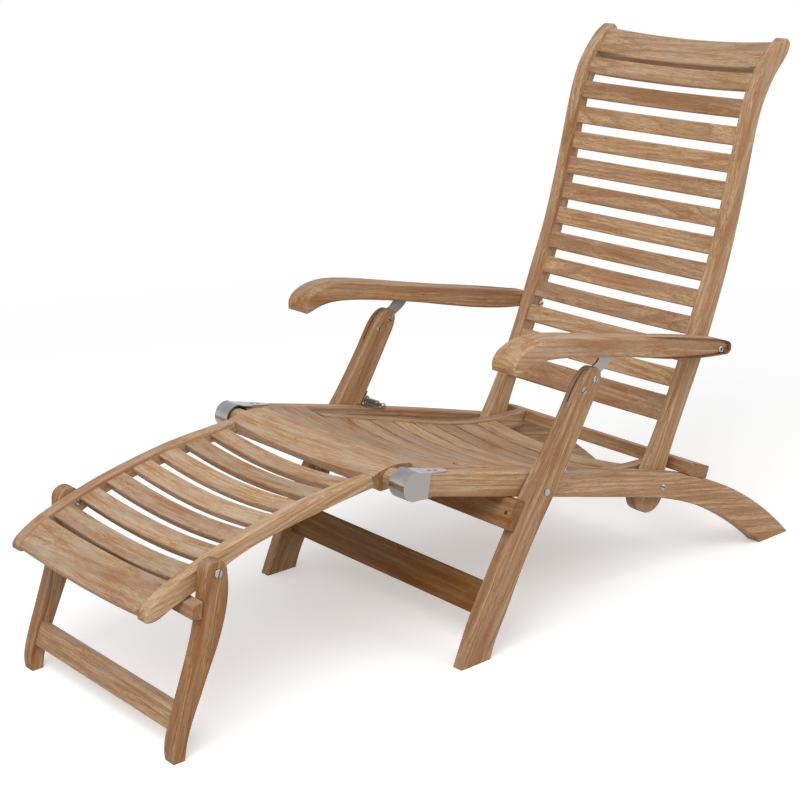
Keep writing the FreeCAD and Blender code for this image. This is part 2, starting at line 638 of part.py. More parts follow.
TOP_REACH = 76
LOW_REACH = 52
touch = (TOP_REACH + 22) / 2
strap_top_z, strap_tilt = on_rail(rest_pivot[0] + touch)
top_line = turned(touch, strap_top_z - rest_pivot[1], strap_tilt)[1] + val("washer_air")
low_z = under_rail(rest_pivot[0] + LOW_REACH) - rest_pivot[1]
under_line = turned(LOW_REACH, low_z, strap_tilt)[1] - val("washer_air")
r = val("cap_r")
wall = val("cap_wall")
strap = val("strap_thick")
STRAP_END = 9
STRAPS = (("TopStrap", top_line, TOP_REACH, 15), ("LowStrap", under_line - strap, LOW_REACH, 13))
cap_deep = "rail_thick + cap_lip + cap_wall + washer_air"
for side, sign in SIDES:
    body = new_body(side + "_hinge_cap")
    base_y = f"-({RAIL_IN} - cap_lip)" if sign < 0 else f"{RAIL_OUT} + cap_wall + washer_air"
    place(body, "rest_pivot_x", base_y, "rest_pivot_z", f"{strap_tilt}")
    sketch = outline(body, "CapOutline", (30, top_line + wall), [
        ("line", (16, top_line + wall)),
        ("curve", (8, top_line + wall + 0.3), (0, r)),
        ("arc", (-r, 0), (0, -r)),
        ("curve", (10, -r + 2), (18, under_line - wall - 1), (30, under_line - wall)),
    ])
    pad(body, sketch, cap_deep)
    inner = outline(body, "CapInside", (60, top_line), [
        ("line", (16, top_line)),
        ("curve", (8, top_line + 0.2), (0, r - wall)),
        ("arc", (-r + wall, 0), (0, -r + wall)),
        ("curve", (9, -r + wall + 2), (17, under_line - 0.8), (26, under_line)),
        ("line", (60, under_line)),
    ])
    if sign > 0:
        cell(inner, "AttachmentOffset.Base.z", "cap_wall")
        cut(body, inner, "200", reverse=True)
    else:
        cut(body, inner, f"{cap_deep} - cap_wall", reverse=True)
    lap = val("cap_lip") if sign < 0 else wall + val("washer_air")
    mid = -(lap + val("rail_thick") / 2)
    for name, level, reach, wide in STRAPS:
        sketch = outline(body, name, (28, mid - wide), [
            ("line", (reach - STRAP_END, mid - STRAP_END)),
            ("arc", (reach, mid), (reach - STRAP_END, mid + STRAP_END)),
            ("line", (28, mid + wide)),
        ], "XY_Plane")
        sketch.AttachmentOffset = FreeCAD.Placement(FreeCAD.Vector(0, 0, level), FreeCAD.Rotation())
        pad(body, sketch, "strap_thick")
    pieces.append(body)

doc.recompute()


# Leg rest, drawn from its pivot along a line that rises towards the seat.
REST_TOP = [(-36, 21), (-104, 30), (-154, 36), (-212, 39), (-259, 39.8), (-307, 38.8), (-350, 35.8),
            (-396.6, 30.5), (-440.5, 22), (-465.8, 13)]
REST_UNDER = [(-479, 4), (-482, -4.5), (-474, -10.5), (-443, -9), (-394, -2), (-337, 9), (-275.4, 16),
              (-200, 13.5), (-137, 9), (-89, 5), (-36, -1)]
for side, sign in SIDES:
    body = new_body(side + "_leg_rest_rail")
    inner_rest = "rest_half - rest_rail_thick"
    place(body, "rest_pivot_x", side_y(sign, inner_rest, "rest_rail_thick"), "rest_pivot_z", "rest_tilt")
    sketch = outline(body, "RestRailOutline", REST_TOP[0], [
        ("curve", *REST_TOP[1:], *REST_UNDER),
    ])
    pad(body, sketch, "rest_rail_thick")
    soften(body, "edge_round", lambda e: in_side_face(e) and e.Curve.TypeId != "Part::GeomLine")
    on_rest = turned(foot_pivot[0] - rest_pivot[0], foot_pivot[1] - rest_pivot[1], val("rest_tilt"))
    hole(body, "FootBoltHole", on_rest)
    pieces.append(body)

rest_in = val("rest_half") - val("rest_rail_thick")
REST_SLATS = 7
REST_SLAT_DROP = 6.5
REST_FIRST_SLAT = 34.2
# The front board: where it lies along the curve, its width, its thickness and how far it is raised.
REST_FRONT_BOARD = (416, "66", 14, 3)
rest_line = smooth_line([(t, n - REST_SLAT_DROP) for t, n in REST_TOP])
members = []


def on_rest_line(label, distance, wide, thick, raised=0):
    t, n, slope = along(rest_line, distance)
    n += raised
    body = board(label, 2 * rest_in, wide, thick, dish)
    c = "cos(rest_tilt)"
    s = "sin(rest_tilt)"
    place(body, f"rest_pivot_x + {t} * {c} - {n} * {s}", "0", f"rest_pivot_z + {t} * {s} + {n} * {c}",
          f"rest_tilt + {slope} - 180")
    return body


for k in range(REST_SLATS):
    distance = REST_FIRST_SLAT + val("rest_pitch") * k
    members.append(on_rest_line(f"RestSlat{k}", distance, "rest_slat_wide", val("slat_thick")))
group = doc.addObject("Part::Compound", "leg_rest_slats")
group.Label = "leg_rest_slats"
group.Links = members
pieces.append(group)
body = on_rest_line("leg_rest_front_board", *REST_FRONT_BOARD)
pieces.append(body)

# Knee board: a thick rounded board whose ends are turned down to round tongues, which sit in the caps.
body = new_body("leg_rest_knee_board")
place(body, "rest_pivot_x", "0", "rest_pivot_z", "rest_tilt")
sketch = outline(body, "KneeEnd", (-33, 19), [
    ("arc", (8, 18.5), (38, 9)),
    ("arc", (46, -1), (38, -10)),
    ("arc", (5, -16), (-26, -12)),
    ("arc", (-35, 3), (-33, 19)),
])
pad(body, sketch, "2 * rest_half", both=True)
half = val("rest_half")
hollow = outline(body, "KneeHollow", (-half - 10, 60), [
    ("line", (-half - 10, 23)),
    ("arc", (0, 23 - dish), (half + 10, 23)),
    ("line", (half + 10, 60)),
], "YZ_Plane")
cut(body, hollow)
tongue = circle(body, "Tongue", (0, 0), "tongue_r")
pad(body, tongue, f"2 * ({RAIL_OUT} - tongue_air)", both=True)
hole(body, "PivotHole", (0, 0))
pieces.append(body)

# Foot legs of the leg rest, measured from their bolt.
for side, sign in SIDES:
    body = new_body(side + "_foot_leg")
    place(body, "foot_pivot_x", side_y(sign, "rest_half + foot_gap", "foot_leg_thick"), "foot_pivot_z")
    ground = -foot_pivot[1]
    sketch = outline(body, "FootLegOutline", (-96, ground), [
        ("curve", (-95.5, -250), (-89.5, -229), (-74, -187), (-60.8, -152.8), (-33.7, -69.4), (-27.5, -36),
         (-23.5, 0)),
        ("arc", (-7, 20), (17.5, -4)),
        ("curve", (15.5, -46.4), (6.7, -80.9), (-6.2, -114.3), (-25, -153.3), (-42.5, -190.8),
         (-59.4, -227.1), (-74.2, ground)),
    ])
    pad(body, sketch, "foot_leg_thick")
    soften(body, "edge_round", above_sole(0))
    hole(body, "PivotHole", (0, 0))
    pieces.append(body)

body = new_body("foot_leg_stretcher")
place(body, "foot_pivot_x", "0", "foot_pivot_z")
sketch = outline(body, "FootStretcherEnd", (-87.5, -236), [
    ("line", (-72, -197.4), (-56, -203.9), (-71.5, -242.5)),
])
pad(body, sketch, "2 * (rest_half + foot_gap)", both=True)
soften(body, "edge_round", lambda e: e.BoundBox.YLength > 100)
pieces.append(body)

body = new_body("foot_leg_stop_bar")
place(body, "foot_pivot_x", "0", "foot_pivot_z")
sketch = outline(body, "FootStopEnd", (-33.4, -64), [
    ("line", (-50.5, -59.5), (-46.2, -40.5), (-29.6, -36.5)),
])
pad(body, sketch, "2 * (rest_half + foot_gap + foot_leg_thick)", both=True)
pieces.append(body)


# Bolts: a domed head outside, a nut inside, both drawn as half an outline and turned about the bolt.
def bolt(label, sign, place_at, inner, outer, sizes):
    shank, head_r, head_high, nut_r, nut_high = (val(name) for name in sizes)
    body = new_body(label)
    place(body, *place_at)
    air = val("washer_air")
    near = sign * (inner - air)
    far = sign * (outer + air)
    sketch = outline(body, "BoltHalf", (0, near - sign * nut_high), [
        ("line", (nut_r, near - sign * nut_high), (nut_r, near), (shank, near), (shank, far), (head_r, far)),
        ("arc", (head_r * 0.72, far + sign * head_high * 0.72), (head_r * 0.3, far + sign * head_high)),
        ("line", (0, far + sign * head_high)),
    ], "XY_Plane")
    feature = body.newObject("PartDesign::Revolution", "Turned")
    feature.Profile = sketch
    feature.ReferenceAxis = (sketch, ["V_Axis"])
    feature.Angle = 360
    doc.recompute()
    return body


def bolts(label, spots, inner, outer, sizes):
    """One node of equal fasteners: one at each spot on each side of the chair."""
    members = []
    for k, spot in enumerate(spots):
        for side, sign in SIDES:
            members.append(bolt(f"{label}_{side}_{k}", sign, (spot[0], "0", spot[1]), inner, outer, sizes))
    group = doc.addObject("Part::Compound", label)
    group.Label = label
    group.Links = members
    pieces.append(group)


# The foot legs' nuts are let into the leg rest's rails.
FOOT_NUT_SUNK = 3
BOLT = ("bolt_r", "bolt_head_r", "bolt_head_high", "nut_r", "nut_high")
RIVET = ("rivet_r", "rivet_head_r", "rivet_head_high", "rivet_head_r", "rivet_head_high")
rail_in = val("seat_clear") / 2
rail_out = rail_in + val("rail_thick")
leg_in = rail_out + val("side_gap")
leg_out = leg_in + val("leg_thick")
rest_out = val("rest_half")
foot_out = rest_out + val("foot_gap") + val("foot_leg_thick")
bolts("front_leg_pivot_bolts", [("leg_pivot_x", "leg_pivot_z")], rail_in, leg_out, BOLT)
bolts("back_pivot_bolts", [("back_pivot_x", "back_pivot_z")], stile_in, rail_out, BOLT)
bolts("arm_bolts", [("arm_bolt_x", "arm_bolt_z")], stile_in, rail_in + ARM_END_THICK,
      ("bolt_r", "nut_r", "bolt_head_high", "nut_r", "nut_high"))
bolts("foot_leg_bolts", [("foot_pivot_x", "foot_pivot_z")], rest_in + FOOT_NUT_SUNK, foot_out,
      ("bolt_r", "nut_r", "bolt_head_high", "bolt_r", "nut_high"))
rivet_spots = []
for t, n in PLATE_RIVETS:
    station = f"leg_pivot_x + {t} * cos(leg_tilt) - {n} * sin(leg_tilt)"
    level = f"leg_pivot_z + {t} * sin(leg_tilt) + {n} * cos(leg_tilt)"
    rivet_spots.append((station, level))
bolts("arm_plate_rivets", rivet_spots, leg_in, leg_out, RIVET)


def pins(label, spot, radius, middle, length):
    """One node of plain round pins, one on each side of the chair."""
    members = []
    for side, sign in SIDES:
        body = new_body(f"{label}_{side}")
        place(body, spot[0], f"{sign} * ({middle}) + ({length}) / 2", spot[1])
        pad(body, circle(body, "PinRound", (0, 0), radius), length)
        members.append(body)
    group = doc.addObject("Part::Compound", label)
    group.Label = label
    group.Links = members
    pieces.append(group)


# The leg rest turns on pins that stand on the hinge caps' plates. The pins that join the armrests
# to the plates stay inside the wood.
PIN_INNER = 216
pin_outer = f"{RAIL_OUT} + washer_air"
pins("leg_rest_pivot_pins", ("rest_pivot_x", "rest_pivot_z"), "bolt_r",
     f"({pin_outer} + {PIN_INNER}) / 2", f"{pin_outer} - {PIN_INNER}")
pins("arm_pins", ("arm_pin_x", "arm_pin_z"), "arm_pin_r", "plate_mid", "arm_pin_long")

# Latches: a barrel on a plate on each side rail, whose bolt slides outwards into a keeper on the leg.
# The bolt's knob, its widest place, its neck, its bevelled end and its tip, from the rail's inner face.
LATCH_BOLT = (-20, -16.4, -12.5, 30, 31.5)
LATCH_KNOB_R = 5.2
latch_z, latch_tilt = on_rail(val("latch_x"))
up = val("latch_up")
barrel = val("latch_barrel_r")
for side, sign in SIDES:
    body = new_body(side + "_latch")
    place(body, "latch_x", side_y(sign, f"{RAIL_IN} + 1", "latch_long"), f"{latch_z}", f"{latch_tilt}")
    sketch = outline(body, "LatchEnd", (-24, 0.1), [
        ("line", (21, 0.1), (21, 2), (barrel + 1, 2), (barrel - 0.8, up - 2.5)),
        ("arc", (0, up + barrel), (-barrel + 0.8, up - 2.5)),
        ("line", (-barrel - 1, 2), (-24, 2)),
    ])
    pad(body, sketch, "latch_long")
    hole(body, "Bore", (0, up), "latch_r + bolt_air")
    pieces.append(body)
    body = new_body(side + "_latch_bolt")
    place(body, f"latch_x - {up} * sin({latch_tilt})", "0", f"{latch_z} + {up} * cos({latch_tilt})")
    rod = val("latch_r")
    knob, swell, neck, bevel, tip = (sign * (rail_in + reach) for reach in LATCH_BOLT)
    sketch = outline(body, "BoltHalf", (0, knob), [
        ("arc", (LATCH_KNOB_R, swell), (rod, neck)),
        ("line", (rod, bevel), (rod - 1, tip), (0, tip)),
    ], "XY_Plane")
    feature = body.newObject("PartDesign::Revolution", "Turned")
    feature.Profile = sketch
    feature.ReferenceAxis = (sketch, ["V_Axis"])
    feature.Angle = 360
    doc.recompute()
    pieces.append(body)

axis_x = val("latch_x") - up * math.sin(math.radians(latch_tilt))
axis_z = latch_z + up * math.cos(math.radians(latch_tilt))
kt, kn = turned(axis_x - leg_pivot[0], axis_z - leg_pivot[1], val("leg_tilt"))
members = []
for side, sign in SIDES:
    body = new_body(side + "Keeper")
    keeper_y = side_y(sign, f"{LEG_IN} + side_gap / 2", "keeper_wide")
    place(body, "leg_pivot_x", keeper_y, "leg_pivot_z", "leg_tilt")
    sketch = outline(body, "KeeperEnd", (kt - 13, -22.7), [
        ("line", (kt + 16, -23.3), (kt + 16, -25.3), (kt + 7, -25.3)),
        ("arc", (kt, kn - 7), (kt - 7, -25)),
        ("line", (kt - 13, -24.7)),
    ])
    pad(body, sketch, "keeper_wide")
    hole(body, "KeeperHole", (kt, kn), "latch_r + 0.7")
    members.append(body)
group = doc.addObject("Part::Compound", "latch_keepers")
group.Label = "latch_keepers"
group.Links = members
pieces.append(group)

# The origin is under the middle of the chair's length.
rest_front = pieces[[p.Label for p in pieces].index("left_leg_rest_rail")]
box = rest_front.Shape.optimalBoundingBox(False, False)
front_station = box.XMin + val("centre_x")
dims.set(f"B{CENTRE_ROW}", str(round((front_station + leg_pivot[0] + RAIL_HEEL[0]) / 2, 3)))

doc.recompute()
for thing in doc.Objects:
    if "Invalid" in thing.State or "Error" in thing.State:
        raise ValueError(f"{thing.Name} of {thing.Label}: {thing.State}")
for piece in pieces:
    if piece.Shape.isNull() or not piece.Shape.isValid():
        raise ValueError(piece.Label + " has no valid shape")
print("centre", val("centre_x"), "nodes", len(pieces))
for piece in pieces:
    piece.Shape.exportStep(f"parts/{piece.Label}.step")
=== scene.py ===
import json
import math

import bmesh
import bpy
import numpy as np
from bpy.props import FloatProperty, FloatVectorProperty, PointerProperty
from mathutils import Matrix, Vector

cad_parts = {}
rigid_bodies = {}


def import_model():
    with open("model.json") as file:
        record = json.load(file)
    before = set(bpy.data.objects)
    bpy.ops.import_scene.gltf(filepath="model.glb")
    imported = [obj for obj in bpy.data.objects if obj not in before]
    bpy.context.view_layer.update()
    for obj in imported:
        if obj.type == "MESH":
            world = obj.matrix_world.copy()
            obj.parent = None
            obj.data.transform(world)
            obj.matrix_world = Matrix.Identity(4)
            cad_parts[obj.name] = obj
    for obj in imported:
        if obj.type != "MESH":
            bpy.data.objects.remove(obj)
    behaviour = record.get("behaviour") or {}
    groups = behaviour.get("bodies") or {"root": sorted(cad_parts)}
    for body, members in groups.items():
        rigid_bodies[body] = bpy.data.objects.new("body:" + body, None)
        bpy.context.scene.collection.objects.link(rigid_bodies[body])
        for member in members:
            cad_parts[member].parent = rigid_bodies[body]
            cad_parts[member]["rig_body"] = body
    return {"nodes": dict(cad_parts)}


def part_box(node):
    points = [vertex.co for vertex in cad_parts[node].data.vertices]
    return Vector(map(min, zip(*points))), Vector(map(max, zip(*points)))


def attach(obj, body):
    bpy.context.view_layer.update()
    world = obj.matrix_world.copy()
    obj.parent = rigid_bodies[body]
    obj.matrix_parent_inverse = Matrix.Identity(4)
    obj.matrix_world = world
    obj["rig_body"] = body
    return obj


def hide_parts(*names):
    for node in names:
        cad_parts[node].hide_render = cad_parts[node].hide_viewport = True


bl_info = {
    "name": "Steamer deck chair",
    "version": (1, 0, 0),
    "blender": (4, 5, 0),
    "location": "3D View > Sidebar > Deck chair",
    "description": "Gives a folding teak deck chair its grain, polished steel, screws and studio",
    "category": "Add Mesh",
}

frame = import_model()

# Which way the grain runs in each piece of teak, as its rise in degrees along the chair.
GRAIN_ALONG = {
    "left_side_rail": -13.0, "right_side_rail": -13.0,
    "left_seat_rail": -12.0, "right_seat_rail": -12.0,
    "left_front_leg": 58.7, "right_front_leg": 58.7,
    "left_armrest": -12.0, "right_armrest": -12.0,
    "left_back_stile": 65.5, "right_back_stile": 65.5,
    "left_leg_rest_rail": 12.4, "right_leg_rest_rail": 12.4,
    "left_foot_leg": 72.0, "right_foot_leg": 72.0,
}
# Pieces that lie across the chair, with the grain from side to side.
GRAIN_ACROSS = (
    "seat_front_board", "seat_rear_bar", "front_leg_stretcher", "front_leg_stop_bar",
    "back_bottom_rail", "crest_rail", "leg_rest_front_board", "leg_rest_knee_board",
    "foot_leg_stretcher", "foot_leg_stop_bar",
) + tuple(f"back_slat_{k}" for k in range(1, 13))
# Nodes of several slats: from the node's foot end to the first gap, and from one gap to the next.
SLAT_ROWS = {"seat_slats": (0.0517, 0.0539), "leg_rest_slats": (0.0463, 0.0516)}
# How far apart a row's boards may lie in their log, along it and across it, and how their tones spread.
ROW_SPREAD = (1.3, 0.05, 0.05)
ROW_TONES = (0.5, 1.0)
# Boards that are darker or paler than the rest: 1 is palest, and below 0 is darkest. The front legs'
# stretcher is darkest as painted shade from the seat above it.
BOARD_TONE_AND_SHADE = {
    "left_foot_leg": 0.22, "right_foot_leg": 0.4, "front_leg_stretcher": -0.25, "front_leg_stop_bar": 0.22,
    "left_front_leg": 0.50, "right_front_leg": 0.45, "left_side_rail": 0.75, "left_armrest": 0.80,
    "right_armrest": 0.5, "leg_rest_front_board": 0.62, "left_back_stile": 0.8, "crest_rail": 0.7,
    "left_leg_rest_rail": 0.85, "right_leg_rest_rail": 0.7, "foot_leg_stretcher": 0.6,
}
# Boards sawn with the log's middle below them, in degrees round the grain: their tops show long arches.
FLAT_SAWN = {
    "left_armrest": -84.0, "right_armrest": -97.0, "leg_rest_front_board": -70.0, "crest_rail": -100.0,
}
# The tint of the boards' cut ends and of the ends that are sanded round, and the painted shade on the slats'
# long edges.
END_SHADE = (0.74, 0.70, 0.66)
SANDED_SHADE = (0.98, 0.95, 0.90)
SLAT_EDGE_PAINTED_SHADE = (0.74, 0.75, 0.80)
# Blender's ring texture runs through this many radians in a metre at scale 1.
WAVE_RATE = 20

# Nodes of polished sheet, and small ones of satin steel.
PLATES = ("left_hinge_cap", "right_hinge_cap", "left_arm_plate", "right_arm_plate")
SMALL_STEEL = (
    "leg_rest_pivot_pins", "arm_pins", "left_latch", "right_latch", "left_latch_bolt", "right_latch_bolt",
    "latch_keepers",
)
# Painted reflection on the polished sheet: its tone by its slope, where 0 faces down, 0.5 is upright and 1
# faces up.
SHEET_PAINTED_REFLECTION = (
    (0.00, (0.40, 0.38, 0.36)),
    (0.25, (0.58, 0.55, 0.52)),
    (0.40, (0.66, 0.63, 0.60)),
    (0.47, (0.40, 0.32, 0.23)),
    (0.54, (0.46, 0.38, 0.28)),
    (0.60, (0.88, 0.90, 0.92)),
    (0.68, (0.80, 0.81, 0.82)),
    (0.80, (0.64, 0.63, 0.61)),
    (0.93, (0.62, 0.62, 0.63)),
    (1.00, (0.57, 0.58, 0.63)),
)

# Screws: the node, the piece's name, the node whose inner face the barrel nut bears on, how far the node's
# heads stand out, how far two of them are set in from its corners or None for one in its middle, head and
# nut as radius and height, and what is cut into the head.
SCREWS = (
    ("front_leg_pivot_bolts", "leg_pivot_screws", "left_side_rail", 0.0031, None,
     (0.0062, 0.0026), (0.0062, 0.0020), "plain"),
    ("back_pivot_bolts", "back_pivot_screws", "left_back_stile", 0.0031, None,
     (0.0060, 0.0024), (0.0062, 0.0020), "slot"),
    ("arm_bolts", "arm_screws", "left_back_stile", 0.0031, None,
     (0.0072, 0.0028), (0.0066, 0.0020), "cross"),
    ("foot_leg_bolts", "foot_leg_screws", "left_leg_rest_rail", 0.0031, None,
     (0.0070, 0.0030), (0.0046, 0.0010), "slot"),
    ("arm_plate_rivets", "plate_screws", "left_front_leg", 0.0015, 0.005,
     (0.0062, 0.0016), (0.0055, 0.0009), "slot"),
)
# How far each node's slots are turned from level, in degrees, and how much further at its second screw and
# on the chair's right side. A nut is turned from its screw by NUT_TURN, in radians.
SLOT_TURN = {
    "front_leg_pivot_bolts": 20, "back_pivot_bolts": 65, "arm_bolts": 35, "foot_leg_bolts": -20,
    "arm_plate_rivets": 118,
}
SECOND_TURN = 47
RIGHT_TURN = 20
NUT_TURN = 0.8
# A slot's depth as a share of its head's height.
SLOT_DEPTH = 0.6
# A crossed recess: how far it reaches from the middle and how long its ends slope, as shares of the head's
# radius, how wide its sides slope as a share of the slots' width, and how much of its depth is left bright;
# below that its faces take the painted shade.
CROSS_REACH = 0.62
CROSS_END = 0.25
CROSS_SIDE = 0.5
CROSS_DARK = 0.55
# The shanks' radius, and the gap that they leave to the head and to the nut.
SHANK = 0.0024
SHANK_GAP = 0.0002
# The hinge caps' screws: how far back they are from the upper strap's tip and how far from the chair's
# middle, the head's radius and height with its slot's width and depth, and the first slot's turn with the
# step to the next, in radians.
CAP_SCREWS = (0.0345, 0.0220)
CAP_SCREW_Y = 0.2405
CAP_SCREW_HEAD = (0.0034, 0.0009, 0.0009, 0.0006)
CAP_SCREW_TURN = (0.6, 1.3)
# Dowels let into the front legs' stop bar: their radius, how far they stand out, and how high they sit on
# the bar as a share of its height.
DOWEL = (0.0034, 0.0006, 0.62)
# Edges of new pieces that bend by more than this many degrees are crisp.
CRISP_EDGE = 42
# A distance that is well clear of the chair.
CLEAR = 2.0

# The armrests: their slope in degrees, and their shape from the back end to the chin, measured from the
# pin in metres, along the arm and square to it. Each row holds a point of the top, the point of the
# underside below it, and how far the inner and the outer side stand off the side rail's inner face.
ARM_TILT = -13.7
ARM_SECTIONS = np.array((
    (0.3345, 0.0184, 0.3345, 0.0184, 0.0000, 0.0360),
    (0.3320, 0.0258, 0.3320, 0.0110, 0.0000, 0.0360),
    (0.3250, 0.0301, 0.3250, 0.0071, 0.0000, 0.0361),
    (0.3140, 0.0314, 0.3140, 0.0052, 0.0000, 0.0363),
    (0.2800, 0.0312, 0.2800, 0.0000, 0.0000, 0.0370),
    (0.2400, 0.0308, 0.2400, -0.0045, 0.0002, 0.0378),
    (0.1760, 0.0292, 0.1760, -0.0085, 0.0020, 0.0420),
    (0.1000, 0.0262, 0.1000, -0.0096, 0.0058, 0.0490),
    (0.0175, 0.0235, 0.0175, -0.0098, 0.0110, 0.0565),
    (-0.0680, 0.0212, -0.0680, -0.0125, 0.0164, 0.0646),
    (-0.1200, 0.0193, -0.1200, -0.0156, 0.0185, 0.0690),
    (-0.1555, 0.0165, -0.1570, -0.0196, 0.0193, 0.0715),
    (-0.1840, 0.0115, -0.1830, -0.0247, 0.0196, 0.0730),
    (-0.2075, 0.0035, -0.2015, -0.0310, 0.0197, 0.0740),
    (-0.2268, -0.0075, -0.2140, -0.0372, 0.0197, 0.0745),
    (-0.2392, -0.0200, -0.2225, -0.0425, 0.0197, 0.0747),
    (-0.2440, -0.0330, -0.2295, -0.0465, 0.0197, 0.0748),
    (-0.2420, -0.0435, -0.2345, -0.0487, 0.0197, 0.0748),
    (-0.2385, -0.0489, -0.2385, -0.0489, 0.0197, 0.0748),
))
# How many rows come before the nose. In them the top only runs forward.
ARM_STRAIGHT = 12
# Radius of the long edges, and how many points go round each.
ARM_ROUND = 0.0048
ARM_ROUND_STEPS = 9
# The slot for the leg's steel plate: its two ends along the arm, its roof, and the air beside the plate.
ARM_SLOT = (0.064, -0.024, 0.0190)
PLATE_AIR = 0.0006
# How many sections are carried behind the slot, along it and in front of it.
ARM_STEPS = (60, 20, 80)

# Half the studio floor's width, and how far from its middle it begins to fade and has faded to white.
FLOOR_HALF = 40.0
FLOOR_FADE = (1.3, 2.6)
# The lamps' places and sizes, and the place that they point at.
LAMPS = {
    "key_lamp": ((-2.2, -1.2, 3.0), (2.4, 2.4)),
    "fill_lamp": ((1.6, -3.0, 1.8), (2.6, 1.8)),
}
LAMP_TARGET = (0, 0, 0.4)
# The camera: its place, the degrees by which it looks round from +X, down and askew, and its focal length
# and sensor's width in millimetres.
CAMERA_PLACE = (-1.945806, -2.231990, 1.302160)
CAMERA_TURN = (49.795, 17.514, -0.914)
FOCAL_LENGTH = 79.285
SENSOR_WIDTH = 36.0


class DeckChairLooks(bpy.types.PropertyGroup):
    """What a maker would change about the chair's finish and its studio."""

    ring_width: FloatProperty(name="Growth ring", description="Width of one year's growth in the teak",
                              default=0.0085, min=0.001, max=0.03, unit="LENGTH")
    early_wood: FloatVectorProperty(name="Early wood", description="Pale wood between the ring lines",
                                    default=(0.66, 0.435, 0.258), size=3, subtype="COLOR", min=0, max=1)
    late_wood: FloatVectorProperty(name="Late wood", description="Brown wood of the ring lines",
                                   default=(0.215, 0.098, 0.042), size=3, subtype="COLOR", min=0, max=1)
    heart_wood: FloatVectorProperty(name="Heart wood", description="Reddish streaks along the boards",
                                    default=(0.385, 0.195, 0.098), size=3, subtype="COLOR", min=0, max=1)
    # Silvered wood: a greyish bloom that the teak lays mostly on upward faces.
    silvered: FloatVectorProperty(name="Silvered wood", description="Greyish bloom on dry upper faces",
                                  default=(0.50, 0.415, 0.32), size=3, subtype="COLOR", min=0, max=1)
    steel_tint: FloatVectorProperty(name="Steel", description="Colour of the polished steel",
                                    default=(0.52, 0.515, 0.505), size=3, subtype="COLOR", min=0, max=1)
    plate_tint: FloatVectorProperty(name="Brushed steel", description="Colour of the hinge caps' flat faces",
                                    default=(0.335, 0.322, 0.302), size=3, subtype="COLOR", min=0, max=1)
    slot_width: FloatProperty(name="Screw slot", description="Width of the slots in the screws' heads",
                              default=0.0019, min=0.0005, max=0.004, unit="LENGTH")
    floor_tint: FloatVectorProperty(name="Floor", description="Colour of the studio floor",
                                    default=(0.62, 0.62, 0.62), size=3, subtype="COLOR", min=0, max=1)
    dome_light: FloatProperty(name="Dome light", description="Strength of the even light from all round",
                              default=0.5, min=0, max=2)
    key_light: FloatProperty(name="Key light", description="Power of the large lamp above the foot end",
                             default=72.0, min=0, max=500, unit="POWER")
    fill_light: FloatProperty(name="Fill light", description="Power of the wide lamp beside the chair",
                              default=30.0, min=0, max=500, unit="POWER")


class Tree:
    """A material's nodes, added one call at a time; sockets given as inputs are linked."""

    def __init__(self, name):
        self.material = bpy.data.materials.new(name)
        self.material.use_nodes = True
        self.nodes = self.material.node_tree.nodes
        self.links = self.material.node_tree.links
        self.nodes.clear()

    def add(self, kind, sockets=None, out=0, **settings):
        """One node with its inputs and settings; what comes back is one of its outputs, if it has any."""
        made = self.nodes.new(kind)
        for key, value in settings.items():
            setattr(made, key, value)
        for key, value in (sockets or {}).items():
            if isinstance(value, bpy.types.NodeSocket):
                self.links.new(value, made.inputs[key])
            else:
                made.inputs[key].default_value = value
        return made.outputs[out] if len(made.outputs) > 0 else made

    def ramp(self, factor, *stops):
        """Colours or grey levels at places from 0 to 1."""
        made = self.nodes.new("ShaderNodeValToRGB")
        self.links.new(factor, made.inputs[0])
        elements = made.color_ramp.elements
        while len(elements) < len(stops):
            elements.new(0.5)
        for element, (place, colour) in zip(elements, stops):
            element.position = place
            grey = (colour,) * 3 if isinstance(colour, (int, float)) else tuple(colour)
            element.color = grey + (1,)
        return made.outputs[0]

    def mix(self, factor, a, b, blend="MIX"):
        """Colour a at factor 0 and b at factor 1, or b laid over a in another blend."""
        made = self.nodes.new("ShaderNodeMix")
        made.data_type = "RGBA"
        made.blend_type = blend
        for socket, value in ((made.inputs[0], factor), (made.inputs[6], a), (made.inputs[7], b)):
            if isinstance(value, bpy.types.NodeSocket):
                self.links.new(value, socket)
            elif isinstance(value, (int, float)):
                socket.default_value = value
            else:
                socket.default_value = tuple(value) + (1,)
        return made.outputs[2]

    def finish(self, shader):
        """Lay a shader on the surface, which completes the material."""
        self.add("ShaderNodeOutputMaterial", {"Surface": shader})
        return self.material


def shade(colour, factor):
    """A colour made lighter or darker, with no channel above 1."""
    return tuple(min(1.0, c * factor) for c in colour)


def log_turn(rise, lean, roll):
    """The turn that lays a log's length along the grain: rise is its slope along the chair or None for
    a piece that lies across; lean turns it a little sideways and 0.7 times that up or down, and roll
    turns it round its length."""
    if rise is None:
        along = Matrix.Rotation(math.radians(90), 4, "Z")
    else:
        along = Matrix.Rotation(math.radians(-rise), 4, "Y")
    return (along @ Matrix.Rotation(lean, 4, "Z") @ Matrix.Rotation(lean * 0.7, 4, "Y")
            @ Matrix.Rotation(roll, 4, "X"))


def stretched(tree, place, factors):
    """A place scaled by one factor along the grain and two across it, for noise of that fineness."""
    return tree.add("ShaderNodeVectorMath", {0: place, 1: factors}, operation="MULTIPLY")


def noise(tree, place, factors, detail, roughness=0.55, out=0):
    """Cloudy noise from 0 to 1; output 0 is one number and output 1 is three."""
    where = stretched(tree, place, factors)
    return tree.add("ShaderNodeTexNoise", {
        "Vector": where, "Scale": 1.0, "Detail": detail, "Roughness": roughness}, out=out)


def wander(tree, place, factors, reach):
    """A slow shift of the place across the grain, by up to about half of reach either way."""
    slow = noise(tree, place, factors, 2.0, out=1)
    centred = tree.add("ShaderNodeVectorMath", {0: slow, 1: (0.5, 0.5, 0.5)}, operation="SUBTRACT")
    return stretched(tree, centred, (0, reach, reach))


